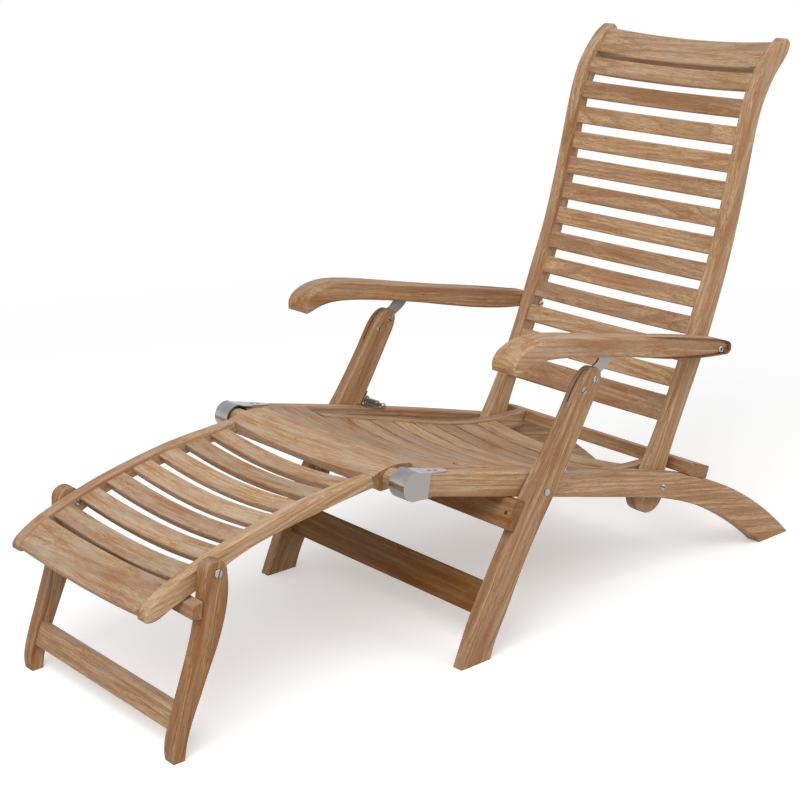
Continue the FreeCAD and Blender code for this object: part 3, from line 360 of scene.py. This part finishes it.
def own_board(tree, place, log, row):
    """Each slat of a row is a board of its own: its number along the row draws its place in the log and
    its tone."""
    start, pitch = row
    parts = tree.nodes.new("ShaderNodeSeparateXYZ")
    tree.links.new(place, parts.inputs[0])
    along = tree.add("ShaderNodeMath", {0: parts.outputs[0], 1: start}, operation="SUBTRACT")
    steps = tree.add("ShaderNodeMath", {0: along, 1: pitch}, operation="DIVIDE")
    number = tree.add("ShaderNodeMath", {0: steps}, operation="FLOOR")
    chance = tree.nodes.new("ShaderNodeTexWhiteNoise")
    chance.noise_dimensions = "1D"
    tree.links.new(number, chance.inputs["W"])
    away = stretched(tree, chance.outputs[1], ROW_SPREAD)
    tone = tree.add("ShaderNodeMapRange", {0: chance.outputs[0], 3: ROW_TONES[0], 4: ROW_TONES[1]})
    return tree.add("ShaderNodeVectorMath", {0: log, 1: away}, operation="ADD"), tone


def facing(tree, normal, way, low, high):
    """How far a surface faces along a direction, either way, from 0 at low to 1 at high."""
    dot = tree.add("ShaderNodeVectorMath", {0: normal, 1: way}, out=1, operation="DOT_PRODUCT")
    size = tree.add("ShaderNodeMath", {0: dot}, operation="ABSOLUTE")
    return tree.add("ShaderNodeMapRange", {0: size, 1: low, 2: high})


def teak(name, looks, centre, rise, seed, row=None, tone=None, flat=None):
    """Teak sawn from a log: rings round the log's middle, wandering slowly along it, with reddish streaks,
    fine fibres, short dark pores and a silvery bloom on top, all as functions of the place in the log. The
    seed draws how the log lies, a row makes every slat a board of its own, tone sets how pale the board
    is, and flat, in degrees, sets its roll in the log."""
    # The log leans off the board by a degree or so, and its middle passes 5 to 11 cm away.
    dice = np.random.RandomState(seed)
    lean = math.radians(dice.uniform(0.6, 1.8)) * dice.choice((-1, 1))
    roll = dice.uniform(0, 2 * math.pi)
    if flat is not None:
        roll = math.radians(flat)
    turn = log_turn(rise, lean, roll)
    pith = turn @ Vector((dice.uniform(-0.3, 0.3), dice.uniform(0.05, 0.11), 0))
    board_tone = dice.uniform(0.45, 1) if tone is None else tone
    tree = Tree(name)
    place = tree.add("ShaderNodeTexCoord", out=3)
    normal = place.node.outputs[1]
    middle = Vector(centre) + pith
    log = tree.add("ShaderNodeMapping", {
        "Vector": place, "Location": middle, "Rotation": turn.to_euler()}, vector_type="TEXTURE")
    if row:
        log, board_tone = own_board(tree, place, log, row)
    far = wander(tree, log, (1.6, 7, 7), 0.030)
    near = wander(tree, log, (8, 55, 55), 0.0045)
    bent = tree.add("ShaderNodeVectorMath", {0: log, 1: far}, operation="ADD")
    bent = tree.add("ShaderNodeVectorMath", {0: bent, 1: near}, operation="ADD")
    rings = tree.add("ShaderNodeTexWave", {
        "Vector": bent, "Scale": 2 * math.pi / (WAVE_RATE * looks.ring_width), "Distortion": 0.0}, out=1,
        wave_type="RINGS", rings_direction="X", wave_profile="SAW")
    # The wood's marks, each as fine along the grain and across it as its numbers say.
    streaks = noise(tree, bent, (2.4, 62, 62), 3.0)
    fibres = noise(tree, bent, (10, 520, 520), 4.0, 0.65)
    hairs = noise(tree, bent, (28, 1500, 1500), 2.0, 0.6)
    pores = noise(tree, bent, (75, 1050, 1050), 2.0, 0.5)
    cloud = noise(tree, log, (4, 24, 24), 3.0)
    bloom = noise(tree, log, (9, 48, 48), 4.0, 0.6)

    early = tuple(looks.early_wood)
    late = tuple(looks.late_wood)
    between = tuple(0.55 * pale + 0.45 * dark for pale, dark in zip(early, late))
    ring_line = tuple(0.04 * pale + 0.96 * dark for pale, dark in zip(early, late))
    ring_colour = tree.ramp(
        rings, (0.0, shade(early, 0.96)), (0.28, shade(early, 1.06)), (0.58, shade(early, 0.88)),
        (0.80, between), (0.92, ring_line), (1.0, shade(early, 0.9)))
    # Rings fade in and out along the board.
    plain = tree.mix(tree.ramp(cloud, (0.40, 0.28), (0.58, 1.0)), shade(early, 0.9), ring_colour)
    streaked = tree.mix(tree.ramp(streaks, (0.47, 0.0), (0.61, 0.92)), plain, tuple(looks.heart_wood))
    fibred = tree.mix(tree.ramp(fibres, (0.36, 0.85), (0.55, 0.0)), streaked, shade(late, 1.35))
    haired = tree.mix(tree.ramp(hairs, (0.38, 0.55), (0.54, 0.0)), fibred, shade(late, 1.5))
    pored = tree.mix(tree.ramp(pores, (0.30, 0.85), (0.39, 0.0)), haired, shade(late, 0.6))
    # A greyish bloom, strongest on upward faces and patchy along the board.
    upward = tree.add("ShaderNodeSeparateXYZ", {0: normal}, out=2)
    bloom_on_upward_faces = tree.add("ShaderNodeMath", {
        0: tree.add("ShaderNodeMapRange", {0: upward, 1: 0.35, 2: 0.95, 3: 0.35, 4: 1.0}),
        1: tree.ramp(bloom, (0.42, 0.05), (0.66, 0.72))}, operation="MULTIPLY")
    dusty = tree.mix(bloom_on_upward_faces, pored, tuple(looks.silvered))
    # The cut ends of the fibres drink more light than the faces do, except where they are sanded round.
    end_shade = END_SHADE if flat is None else SANDED_SHADE
    grain_way = turn.to_3x3() @ Vector((1, 0, 0))
    ends = tree.mix(facing(tree, normal, grain_way, 0.72, 0.97), (1, 1, 1), end_shade)
    sawn = tree.mix(1.0, dusty, ends, blend="MULTIPLY")
    if row:
        # Painted shade: a slat's long edges, which face along the chair, are darkened and greyed as if they
        # lay in shade.
        painted_edge_shade = tree.mix(facing(tree, normal, (1, 0, 0), 0.45, 0.85), (1, 1, 1), SLAT_EDGE_PAINTED_SHADE)
        sawn = tree.mix(1.0, sawn, painted_edge_shade, blend="MULTIPLY")
    # Darker boards are the redder and less bleached ones.
    value = tree.add("ShaderNodeMapRange", {0: board_tone, 3: 0.62, 4: 1.14}, clamp=False)
    hue = tree.add("ShaderNodeMapRange", {0: board_tone, 3: 0.494, 4: 0.504})
    rich = tree.add("ShaderNodeMapRange", {0: board_tone, 1: -0.25, 2: 0.6, 3: 1.45, 4: 1.06})
    finished = tree.add("ShaderNodeHueSaturation", {
        "Color": sawn, "Value": value, "Saturation": rich, "Hue": hue})
    rough = tree.add("ShaderNodeMapRange", {0: fibres, 3: 0.50, 4: 0.74})
    solid = tree.ramp(pores, (0.30, 0.0), (0.42, 1.0))
    relief = tree.add("ShaderNodeMath", {0: fibres, 1: solid}, operation="ADD")
    bump = tree.add("ShaderNodeBump", {"Height": relief, "Strength": 0.3, "Distance": 0.0004})
    return tree.finish(tree.add("ShaderNodeBsdfPrincipled", {
        "Base Color": finished, "Roughness": rough, "Normal": bump, "Specular IOR Level": 0.35}))


def steel(name, looks, roughness, streak, brushed_with_painted_reflection=False, tone=1.0):
    """Polished steel: fine rubbing marks in one direction, faint smears and a slightly uneven sheen. Rolled
    sheet has a painted reflection, its tone changing with its slope, and matt grey faces where it is flat to
    the chair's side. A tone below 1 darkens it."""
    tree = Tree(name)
    place = tree.add("ShaderNodeTexCoord", out=3)
    marks = noise(tree, place, streak, 3.0, 0.6)
    smears = tree.add("ShaderNodeTexNoise", {"Vector": place, "Scale": 45.0, "Detail": 2.0})
    tint = shade(tuple(looks.steel_tint), tone)
    colour = tree.mix(tree.ramp(smears, (0.35, 0.0), (0.7, 1.0)), shade(tint, 0.86), shade(tint, 1.08))
    rough = tree.add("ShaderNodeMapRange", {0: marks, 3: roughness * 0.7, 4: roughness * 1.4})
    if brushed_with_painted_reflection:
        # Painted reflection: the sheet's tone changes with its slope, standing in for the studio mirrored
        # along its bends.
        normal = place.node.outputs[1]
        slope = tree.add("ShaderNodeSeparateXYZ", {0: normal}, out=2)
        painted_reflection = tree.ramp(tree.add("ShaderNodeMapRange", {0: slope, 1: -1.0, 2: 1.0}), *SHEET_PAINTED_REFLECTION)
        colour = tree.mix(1.0, colour, painted_reflection, blend="MULTIPLY")
        side = facing(tree, normal, (0, 1, 0), 0.80, 0.93)
        colour = tree.mix(side, colour, tuple(looks.plate_tint))
        matt = tree.add("ShaderNodeMapRange", {0: marks, 3: 0.46, 4: 0.60})
        rough = tree.add("ShaderNodeMix", {0: side, 2: rough, 3: matt})
    bump = tree.add("ShaderNodeBump", {"Height": marks, "Strength": 0.08, "Distance": 0.0002})
    return tree.finish(tree.add("ShaderNodeBsdfPrincipled", {
        "Base Color": colour, "Metallic": 1.0, "Roughness": rough, "Normal": bump}))


def dress(node, material):
    """Put one material on a node's object."""
    slots = frame["nodes"][node].data.materials
    slots.clear()
    slots.append(material)


class DECKCHAIR_OT_teak(bpy.types.Operator):
    """Give every wooden piece its own board of teak, with the grain along the piece"""

    bl_idname = "deckchair.teak"
    bl_label = "Teak"

    def execute(self, context):
        looks = context.scene.deck_chair
        wood = [(node, rise, None) for node, rise in GRAIN_ALONG.items()]
        wood += [(node, None, None) for node in GRAIN_ACROSS]
        wood += [(node, None, slats) for node, slats in SLAT_ROWS.items()]
        for seed, (node, rise, slats) in enumerate(wood, start=11):
            low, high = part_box(node)
            row = (low.x + slats[0], slats[1]) if slats else None
            dress(node, teak("teak_" + node, looks, (low + high) / 2, rise, seed, row,
                             BOARD_TONE_AND_SHADE.get(node), FLAT_SAWN.get(node)))
        return {"FINISHED"}


class DECKCHAIR_OT_steel(bpy.types.Operator):
    """Give the hinge caps, arm plates, pins, latches and keepers their steel"""

    bl_idname = "deckchair.steel"
    bl_label = "Steel"

    def execute(self, context):
        looks = context.scene.deck_chair
        sheet = steel("sheet_steel_painted_reflection", looks, 0.16, (60, 900, 900), brushed_with_painted_reflection=True)
        small = steel("rod_steel", looks, 0.28, (700, 90, 700), tone=0.8)
        for node in PLATES:
            dress(node, sheet)
        for node in SMALL_STEEL:
            dress(node, small)
        return {"FINISHED"}


def grid_quads(rows, columns, closed=False):
    """The faces of a grid of points; a closed one joins its last column to its first."""
    last = columns if closed else columns - 1
    row, column = np.meshgrid(np.arange(rows - 1), np.arange(last), indexing="ij")
    after = (column + 1) % columns
    here, beyond = row * columns, (row + 1) * columns
    corners = (here + column, beyond + column, beyond + after, here + after)
    return np.stack([c.ravel() for c in corners], axis=1)


def grid_mesh(name, points, quads):
    """A mesh from a grid's points and faces."""
    mesh = bpy.data.meshes.new(name)
    mesh.from_pydata(points.reshape(-1, 3).tolist(), [], quads.tolist())
    mesh.update()
    return mesh


def slot_shade_and_dowels_material(looks):
    """Painted shade for the floors of the screws' slots: near black with brown specks. The stop bar's dowels
    are as dark.
    """
    tree = Tree("slot_shade_and_dowels")
    place = tree.add("ShaderNodeTexCoord", out=3)
    specks = tree.add("ShaderNodeTexNoise", {"Vector": place, "Scale": 1800.0, "Detail": 2.0})
    colour = tree.mix(specks, (0.02, 0.018, 0.016), shade(tuple(looks.late_wood), 0.5))
    return tree.finish(tree.add("ShaderNodeBsdfPrincipled", {
        "Base Color": colour, "Roughness": tree.add("ShaderNodeMapRange", {0: specks, 3: 0.7, 4: 0.95})}))


def screw_head(radius, height, slot, depth, crossed=False, size=40):
    """A pan head whose bearing face is at z = 0. Its outline at a distance y from the middle is a closed
    loop: along the top from one rim to the other, at height times (0.35 + 0.65 * sqrt(1 - (r / radius)^3)),
    less the recess, and back along the flat bottom. Rows are doubled at the slot's edges, so that its
    walls stand upright. A crossed head has two short sloping recesses instead, and with no depth the head
    is plain."""
    edge = math.asin(slot / 2 / radius)
    outer = radius * np.sin(np.linspace(-math.pi / 2, -edge, size // 2))
    y = np.concatenate([outer, (-slot / 2, slot / 2), -outer[::-1]])
    sunk = np.zeros(len(y), bool)
    sunk[len(outer):len(outer) + 2] = not crossed
    half = np.sqrt(np.maximum(radius ** 2 - y ** 2, 0))
    x = half[:, None] * np.sin(np.linspace(-math.pi / 2, math.pi / 2, size))
    r = np.minimum(np.hypot(x, y[:, None]) / radius, 1)
    top = height * (0.35 + 0.65 * np.sqrt(1 - r ** 3))
    top = np.where(sunk[:, None], np.minimum(top, height - depth), top)
    if crossed:
        thin = np.minimum(np.abs(x), np.abs(y[:, None]))
        long = np.maximum(np.abs(x), np.abs(y[:, None]))
        across = np.clip((slot - thin) / (CROSS_SIDE * slot), 0, 1)
        inside = across * np.clip((CROSS_REACH * radius - long) / (CROSS_END * radius), 0, 1)
        top = top - depth * inside
    bottom = np.stack([np.stack([half, y, 0 * y], 1), np.stack([-half, y, 0 * y], 1)], 1)
    surface = np.stack([x, np.broadcast_to(y[:, None], x.shape), top], 2)
    points = np.concatenate([surface, bottom], 1).reshape(-1, 3)
    quads = grid_quads(len(y), size + 2, closed=True)
    row, column = np.divmod(quads, size + 2)
    # A crossed head's deep recess, or a slot's floor and walls, takes the painted shade.
    if crossed:
        spot = np.clip(row * size + column, 0, inside.size - 1)
        dark = inside.ravel()[spot] > CROSS_DARK
    else:
        dark = (row >= len(outer) - 1) & (row <= len(outer) + 2)
    return points, quads, (dark & (column < size)).all(1) & (depth > 0)


def shank(radius, start, end, sides=24):
    """A round bar along z with closed ends: a profile of four points turned about the axis."""
    turn = np.linspace(0, 2 * math.pi, sides, endpoint=False)
    profile = np.array([(0, start), (radius, start), (radius, end), (0, end)])
    points = np.stack([profile[:, :1] * np.cos(turn), profile[:, :1] * np.sin(turn),
                       np.broadcast_to(profile[:, 1:], (4, sides))], 2)
    quads = grid_quads(4, sides, closed=True)
    return points.reshape(-1, 3), quads, np.zeros(len(quads), bool)


def stand(part, place, out, turn):
    """Move points so that their z axis points along out at a place, turned about it."""
    points, quads, dark = part
    way = Vector(out).to_track_quat("Z", "X").to_matrix() @ Matrix.Rotation(turn, 3, "Z")
    return points @ np.array(way).T + np.array(place), quads, dark


def joined(name, parts):
    """One mesh of several closed parts, with doubles merged and faces turned outwards."""
    offsets = np.cumsum([0] + [len(points) for points, _, _ in parts[:-1]])
    points = np.concatenate([points for points, _, _ in parts])
    quads = np.concatenate([quads + offset for (_, quads, _), offset in zip(parts, offsets)])
    mesh = grid_mesh(name, points, quads)
    dark = np.concatenate([dark for _, _, dark in parts])
    mesh.polygons.foreach_set("material_index", dark.astype(np.int32))
    shape = bmesh.new()
    shape.from_mesh(mesh)
    bmesh.ops.remove_doubles(shape, verts=shape.verts, dist=1e-6)
    bmesh.ops.recalc_face_normals(shape, faces=shape.faces)
    shape.to_mesh(mesh)
    shape.free()
    mesh.shade_smooth()
    return mesh


def add_piece(name, parts, body, materials):
    """A piece of the chair that rides on a body. Its second material is painted shade for the floors of
    slots.
    """
    piece = bpy.data.objects.new(name, joined(name, parts))
    bpy.context.scene.collection.objects.link(piece)
    keep_edges = piece.modifiers.new("crisp_edges", "EDGE_SPLIT")
    keep_edges.split_angle = math.radians(CRISP_EDGE)
    for material in materials:
        piece.data.materials.append(material)
    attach(piece, body)
    return piece


def side_spots(node, inset):
    """Where the bolts of a node stand, as (x, z): in its middle, or inset from two opposite corners."""
    low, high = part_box(node)
    if inset is None:
        return [((low.x + high.x) / 2, (low.z + high.z) / 2)]
    return [(low.x + inset, low.z + inset), (high.x - inset, high.z - inset)]


def run_through(marks, at):
    """A smooth line through rows of numbers, read at distances along it. Between two rows it is the cubic
    that has at each row the slope of the parabola through that row and its neighbours; the distance is
    counted along the first two columns."""
    length = arm_length(marks)
    slopes = np.gradient(marks, length, axis=0)
    k = np.clip(np.searchsorted(length, at, side="right") - 1, 0, len(length) - 2)
    gap = (length[k + 1] - length[k])[:, None]
    s = (at - length[k])[:, None] / gap
    return ((1 + 2 * s) * (1 - s) ** 2 * marks[k] + s * (1 - s) ** 2 * gap * slopes[k]
            + s ** 2 * (3 - 2 * s) * marks[k + 1] - s ** 2 * (1 - s) * gap * slopes[k + 1])


def arm_length(marks):
    """How far each row lies from the first, along the first two columns."""
    return np.concatenate([[0], np.cumsum(np.hypot(*np.diff(marks[:, :2], axis=0).T))])


def arm_board(pin, rail_y, plate_y, sign):
    """An armrest as a section carried along the arm. The section is a rectangle from the underside to the
    top and from the inner to the outer side, with its corners rounded; its underside rises to the slot's
    roof between the slot's ends, where rows are doubled so that the end walls stand upright."""
    length = arm_length(ARM_SECTIONS)
    straight = ARM_SECTIONS[:ARM_STRAIGHT, 0]
    start, end = (np.interp(-x, -straight, length[:ARM_STRAIGHT]) for x in ARM_SLOT[:2])
    stretches = zip((0, start, end), (start, end, length[-1]), ARM_STEPS)
    at = np.concatenate([np.linspace(*stretch) for stretch in stretches])
    slotted = np.repeat((0.0, 1.0, 0.0), ARM_STEPS)
    rows = run_through(ARM_SECTIONS, at)
    under = rows[:, 2:4]
    up = rows[:, :2] - under
    tall = np.hypot(*up.T)
    up = up / np.maximum(tall, 1e-6)[:, None]
    inner, outer = rail_y + rows[:, 4], rail_y + rows[:, 5]
    # Where the arm is thinner than two roundings, they take up almost half of it each.
    r = np.minimum(ARM_ROUND, 0.499 * tall)
    roof = slotted * (ARM_SLOT[2] - under[:, 1])
    zero = 0 * tall
    near, far = zero + plate_y[0], zero + plate_y[1]
    quarter = np.linspace(0, math.pi / 2, ARM_ROUND_STEPS)
    columns = [(near, zero), (near, roof), (far, roof), (far, zero)]
    columns += [(outer - r + r * math.sin(a), r - r * math.cos(a)) for a in quarter]
    columns += [(outer - r + r * math.cos(a), tall - r + r * math.sin(a)) for a in quarter]
    columns += [(far, tall), (near, tall)]
    columns += [(inner + r - r * math.sin(a), tall - r + r * math.cos(a)) for a in quarter]
    columns += [(inner + r - r * math.cos(a), r - r * math.sin(a)) for a in quarter]
    across = np.stack([y for y, _ in columns], 1)
    height = np.stack([h for _, h in columns], 1)
    flat = under[:, None] + height[..., None] * up[:, None]
    tilt = math.radians(ARM_TILT)
    x = pin[0] + flat[..., 0] * math.cos(tilt) - flat[..., 1] * math.sin(tilt)
    z = pin[1] + flat[..., 0] * math.sin(tilt) + flat[..., 1] * math.cos(tilt)
    points = np.stack([x, sign * across, z], 2).reshape(-1, 3)
    quads = grid_quads(len(at), len(columns), closed=True)
    return points, quads, np.zeros(len(quads), bool)


class DECKCHAIR_OT_arms(bpy.types.Operator):
    """Shape the armrests: square across, rolled over at the nose, with a slot for the leg's plate"""

    bl_idname = "deckchair.arms"
    bl_label = "Armrests"

    def execute(self, context):
        pin = side_spots("arm_pins", None)[0]
        rail_y = -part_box("left_side_rail")[1].y
        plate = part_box("right_arm_plate")
        plate_y = (plate[0].y - PLATE_AIR, plate[1].y + PLATE_AIR)
        for side, sign in (("left", -1), ("right", 1)):
            node = frame["nodes"][f"{side}_armrest"]
            board = arm_board(pin, rail_y, plate_y, sign)
            wood = node.data.materials[:]
            piece = add_piece(f"{side}_arm_board", [board], node["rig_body"], wood)
            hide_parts(f"{side}_armrest")
        return {"FINISHED"}


class DECKCHAIR_OT_screws(bpy.types.Operator):
    """Make the joints' screws and barrel nuts, the hinge caps' small screws and the stop bar's dowels"""

    bl_idname = "deckchair.screws"
    bl_label = "Screws"

    def execute(self, context):
        looks = context.scene.deck_chair
        bright = (steel("screw_steel", looks, 0.24, (700, 700, 90), tone=0.68), slot_shade_and_dowels_material(looks))
        for node, name, inner_node, proud, inset, head, nut, cut in SCREWS:
            low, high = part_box(node)
            bearing = -low.y - proud
            inside = -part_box(inner_node)[1].y
            parts = []
            for k, (x, z) in enumerate(side_spots(node, inset)):
                for sign in (-1, 1):
                    out = (0, sign, 0)
                    turn = math.radians(SLOT_TURN[node] + SECOND_TURN * k + (RIGHT_TURN if sign > 0 else 0))
                    depth = 0.0 if cut == "plain" else SLOT_DEPTH * head[1]
                    outer = screw_head(head[0], head[1], looks.slot_width, depth, cut == "cross")
                    inner = screw_head(nut[0], nut[1], looks.slot_width, SLOT_DEPTH * nut[1])
                    parts.append(stand(outer, (x, sign * bearing, z), out, turn))
                    parts.append(stand(inner, (x, sign * inside, z), (0, -sign, 0), turn + NUT_TURN))
                    bar = shank(SHANK, inside + SHANK_GAP, bearing - SHANK_GAP)
                    parts.append(stand(bar, (x, 0, z), out, 0))
            piece = add_piece(name, parts, frame["nodes"][node]["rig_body"], bright)
            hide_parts(node)
        self.cap_screws(looks, bright)
        self.dowels(looks)
        return {"FINISHED"}

    def dowels(self, looks):
        """A dark dowel in each end of the stop bar's front face, on the line of the leg's plate. It reaches
        in three times as far as it stands out."""
        bar = frame["nodes"]["front_leg_stop_bar"]
        low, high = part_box("front_leg_stop_bar")
        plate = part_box("right_arm_plate")
        radius, proud, share = DOWEL
        height = low.z + share * (high.z - low.z)
        parts = []
        for sign in (-1, 1):
            y = sign * (plate[0].y + plate[1].y) / 2
            hit, spot, normal, _ = bar.ray_cast((-CLEAR, y, height), (1, 0, 0))
            if not hit:
                raise ValueError("the stop bar has no front face at the dowels")
            parts.append(stand(shank(radius, -3 * proud, proud), spot, normal, 0))
        add_piece("stop_bar_dowels", parts, bar["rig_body"], (slot_shade_and_dowels_material(looks),))

    def cap_screws(self, looks, materials):
        """Two small screws that hold each hinge cap's upper strap to the side rail."""
        first, step = CAP_SCREW_TURN
        for side, sign in (("left", -1), ("right", 1)):
            node = f"{side}_hinge_cap"
            cap = frame["nodes"][node]
            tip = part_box(node)[1].x
            parts = []
            for k, back in enumerate(CAP_SCREWS):
                spot, normal = on_top(cap, tip - back, sign * CAP_SCREW_Y)
                parts.append(stand(screw_head(*CAP_SCREW_HEAD), spot, normal, first + step * k))
            add_piece(f"{side}_cap_screws", parts, cap["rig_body"], materials)


def on_top(thing, x, y):
    """The point of a piece's top at (x, y), and which way its surface faces there."""
    hit, spot, normal, _ = thing.ray_cast((x, y, CLEAR), (0, 0, -1))
    if not hit:
        raise ValueError(f"{thing.name} has nothing at {x}, {y}")
    return spot, normal


def studio_floor(half, size=25):
    """A level floor: the point at (u, v) is (u, v, 0)."""
    u, v = np.meshgrid(np.linspace(-half, half, size), np.linspace(-half, half, size), indexing="ij")
    return np.stack([u, v, np.zeros_like(u)], axis=2)


def seen_directly(nodes, links):
    """1 for rays from the eye, also by way of metal or glass."""
    path = nodes.new("ShaderNodeLightPath")
    most = path.outputs["Is Camera Ray"]
    for ray in ("Is Glossy Ray", "Is Transmission Ray"):
        larger = nodes.new("ShaderNodeMath")
        larger.operation = "MAXIMUM"
        links.new(most, larger.inputs[0])
        links.new(path.outputs[ray], larger.inputs[1])
        most = larger.outputs[0]
    return most


def paper(looks):
    """Matt white studio paper with a faint tooth. It keeps the chair's shadow and runs out to white."""
    tree = Tree("studio_paper")
    place = tree.add("ShaderNodeTexCoord", out=3)
    tooth = tree.add("ShaderNodeTexNoise", {"Vector": place, "Scale": 400.0, "Detail": 3.0})
    bump = tree.add("ShaderNodeBump", {"Height": tooth, "Strength": 0.05, "Distance": 0.0005})
    tint = tuple(looks.floor_tint)
    matt = tree.add("ShaderNodeBsdfDiffuse", {
        "Color": tree.mix(tooth, shade(tint, 0.98), shade(tint, 1.02)), "Normal": bump})
    near = tree.add("ShaderNodeAddShader", {
        0: tree.add("ShaderNodeBsdfDiffuse", {"Color": (1, 1, 1, 1), "Normal": bump}),
        1: tree.add("ShaderNodeEmission", {"Color": (1, 1, 1, 1), "Strength": 0.3})})
    away = tree.add("ShaderNodeVectorMath", {0: place}, out=1, operation="LENGTH")
    white = tree.add("ShaderNodeEmission", {"Color": (1, 1, 1, 1), "Strength": 1.0})
    seen = tree.add("ShaderNodeMixShader", {
        0: tree.add("ShaderNodeMapRange", {0: away, 1: FLOOR_FADE[0], 2: FLOOR_FADE[1]}), 1: near, 2: white})
    direct = seen_directly(tree.nodes, tree.links)
    return tree.finish(tree.add("ShaderNodeMixShader", {0: direct, 1: matt, 2: seen}))


def area_lamp(name, place, size, power):
    """A white rectangular lamp that points at the chair."""
    lamp = bpy.data.lights.new(name, "AREA")
    lamp.shape = "RECTANGLE"
    lamp.size, lamp.size_y = size
    lamp.energy = power
    made = bpy.data.objects.new(name, lamp)
    made.location = place
    made.rotation_euler = (Vector(LAMP_TARGET) - Vector(place)).to_track_quat("-Z", "Y").to_euler()
    bpy.context.scene.collection.objects.link(made)


def photographer():
    """A long lens 1.3 m above the floor, off the sitter's left foot. It looks down at the chair and is less
    than a degree askew."""
    lens = bpy.data.cameras.new("photographer")
    lens.sensor_width = SENSOR_WIDTH
    lens.lens = FOCAL_LENGTH
    camera = bpy.data.objects.new("photographer", lens)
    azimuth, elevation, roll = (math.radians(a) for a in CAMERA_TURN)
    look = Vector((math.cos(elevation) * math.cos(azimuth), math.cos(elevation) * math.sin(azimuth),
                   -math.sin(elevation)))
    level = look.cross(Vector((0, 0, 1))).normalized()
    up = level.cross(look)
    right = math.cos(roll) * level + math.sin(roll) * up
    top = -math.sin(roll) * level + math.cos(roll) * up
    turn = Matrix((right, top, -look)).transposed().to_4x4()
    camera.matrix_world = Matrix.Translation(CAMERA_PLACE) @ turn
    bpy.context.scene.collection.objects.link(camera)
    bpy.context.scene.camera = camera


class DECKCHAIR_OT_studio(bpy.types.Operator):
    """Set the chair on white paper under soft lamps, with the photographer's camera"""

    bl_idname = "deckchair.studio"
    bl_label = "Studio"

    def execute(self, context):
        scene = context.scene
        looks = scene.deck_chair
        points = studio_floor(FLOOR_HALF)
        sheet = grid_mesh("studio_floor", points, grid_quads(*points.shape[:2]))
        floor = bpy.data.objects.new("studio_floor", sheet)
        floor.data.materials.append(paper(looks))
        scene.collection.objects.link(floor)
        area_lamp("key_lamp", *LAMPS["key_lamp"], looks.key_light)
        area_lamp("fill_lamp", *LAMPS["fill_lamp"], looks.fill_light)
        world = bpy.data.worlds.new("studio_air")
        world.use_nodes = True
        nodes, links = world.node_tree.nodes, world.node_tree.links
        nodes.clear()
        # The air lights the chair as a dim dome, and is plain white where it is seen.
        choose = nodes.new("ShaderNodeMixShader")
        links.new(seen_directly(nodes, links), choose.inputs[0])
        for socket, strength in ((1, looks.dome_light), (2, 1.0)):
            light = nodes.new("ShaderNodeBackground")
            light.inputs[0].default_value = (1, 1, 1, 1)
            light.inputs[1].default_value = strength
            links.new(light.outputs[0], choose.inputs[socket])
        output = nodes.new("ShaderNodeOutputWorld")
        links.new(choose.outputs[0], output.inputs[0])
        scene.world = world
        scene.view_settings.view_transform = "Standard"
        photographer()
        return {"FINISHED"}


class DECKCHAIR_PT_panel(bpy.types.Panel):
    """Lists the chair's finishes and the studio"""

    bl_label = "Deck chair"
    bl_idname = "DECKCHAIR_PT_panel"
    bl_space_type = "VIEW_3D"
    bl_region_type = "UI"
    bl_category = "Deck chair"

    def draw(self, context):
        looks = context.scene.deck_chair
        for name in DeckChairLooks.__annotations__:
            self.layout.prop(looks, name)
        for operator in OPERATORS:
            self.layout.operator(operator.bl_idname)


OPERATORS = (
    DECKCHAIR_OT_teak, DECKCHAIR_OT_steel, DECKCHAIR_OT_arms, DECKCHAIR_OT_screws, DECKCHAIR_OT_studio,
)
CLASSES = (DeckChairLooks,) + OPERATORS + (DECKCHAIR_PT_panel,)


def register():
    for entry in CLASSES:
        bpy.utils.register_class(entry)
    bpy.types.Scene.deck_chair = PointerProperty(type=DeckChairLooks)


def unregister():
    del bpy.types.Scene.deck_chair
    for entry in reversed(CLASSES):
        bpy.utils.unregister_class(entry)


def main():
    """Dress the chair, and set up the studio."""
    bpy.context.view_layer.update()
    register()
    bpy.ops.deckchair.teak()
    bpy.ops.deckchair.steel()
    bpy.ops.deckchair.arms()
    bpy.ops.deckchair.screws()
    bpy.ops.deckchair.studio()


if __name__ == "__main__":
    main()
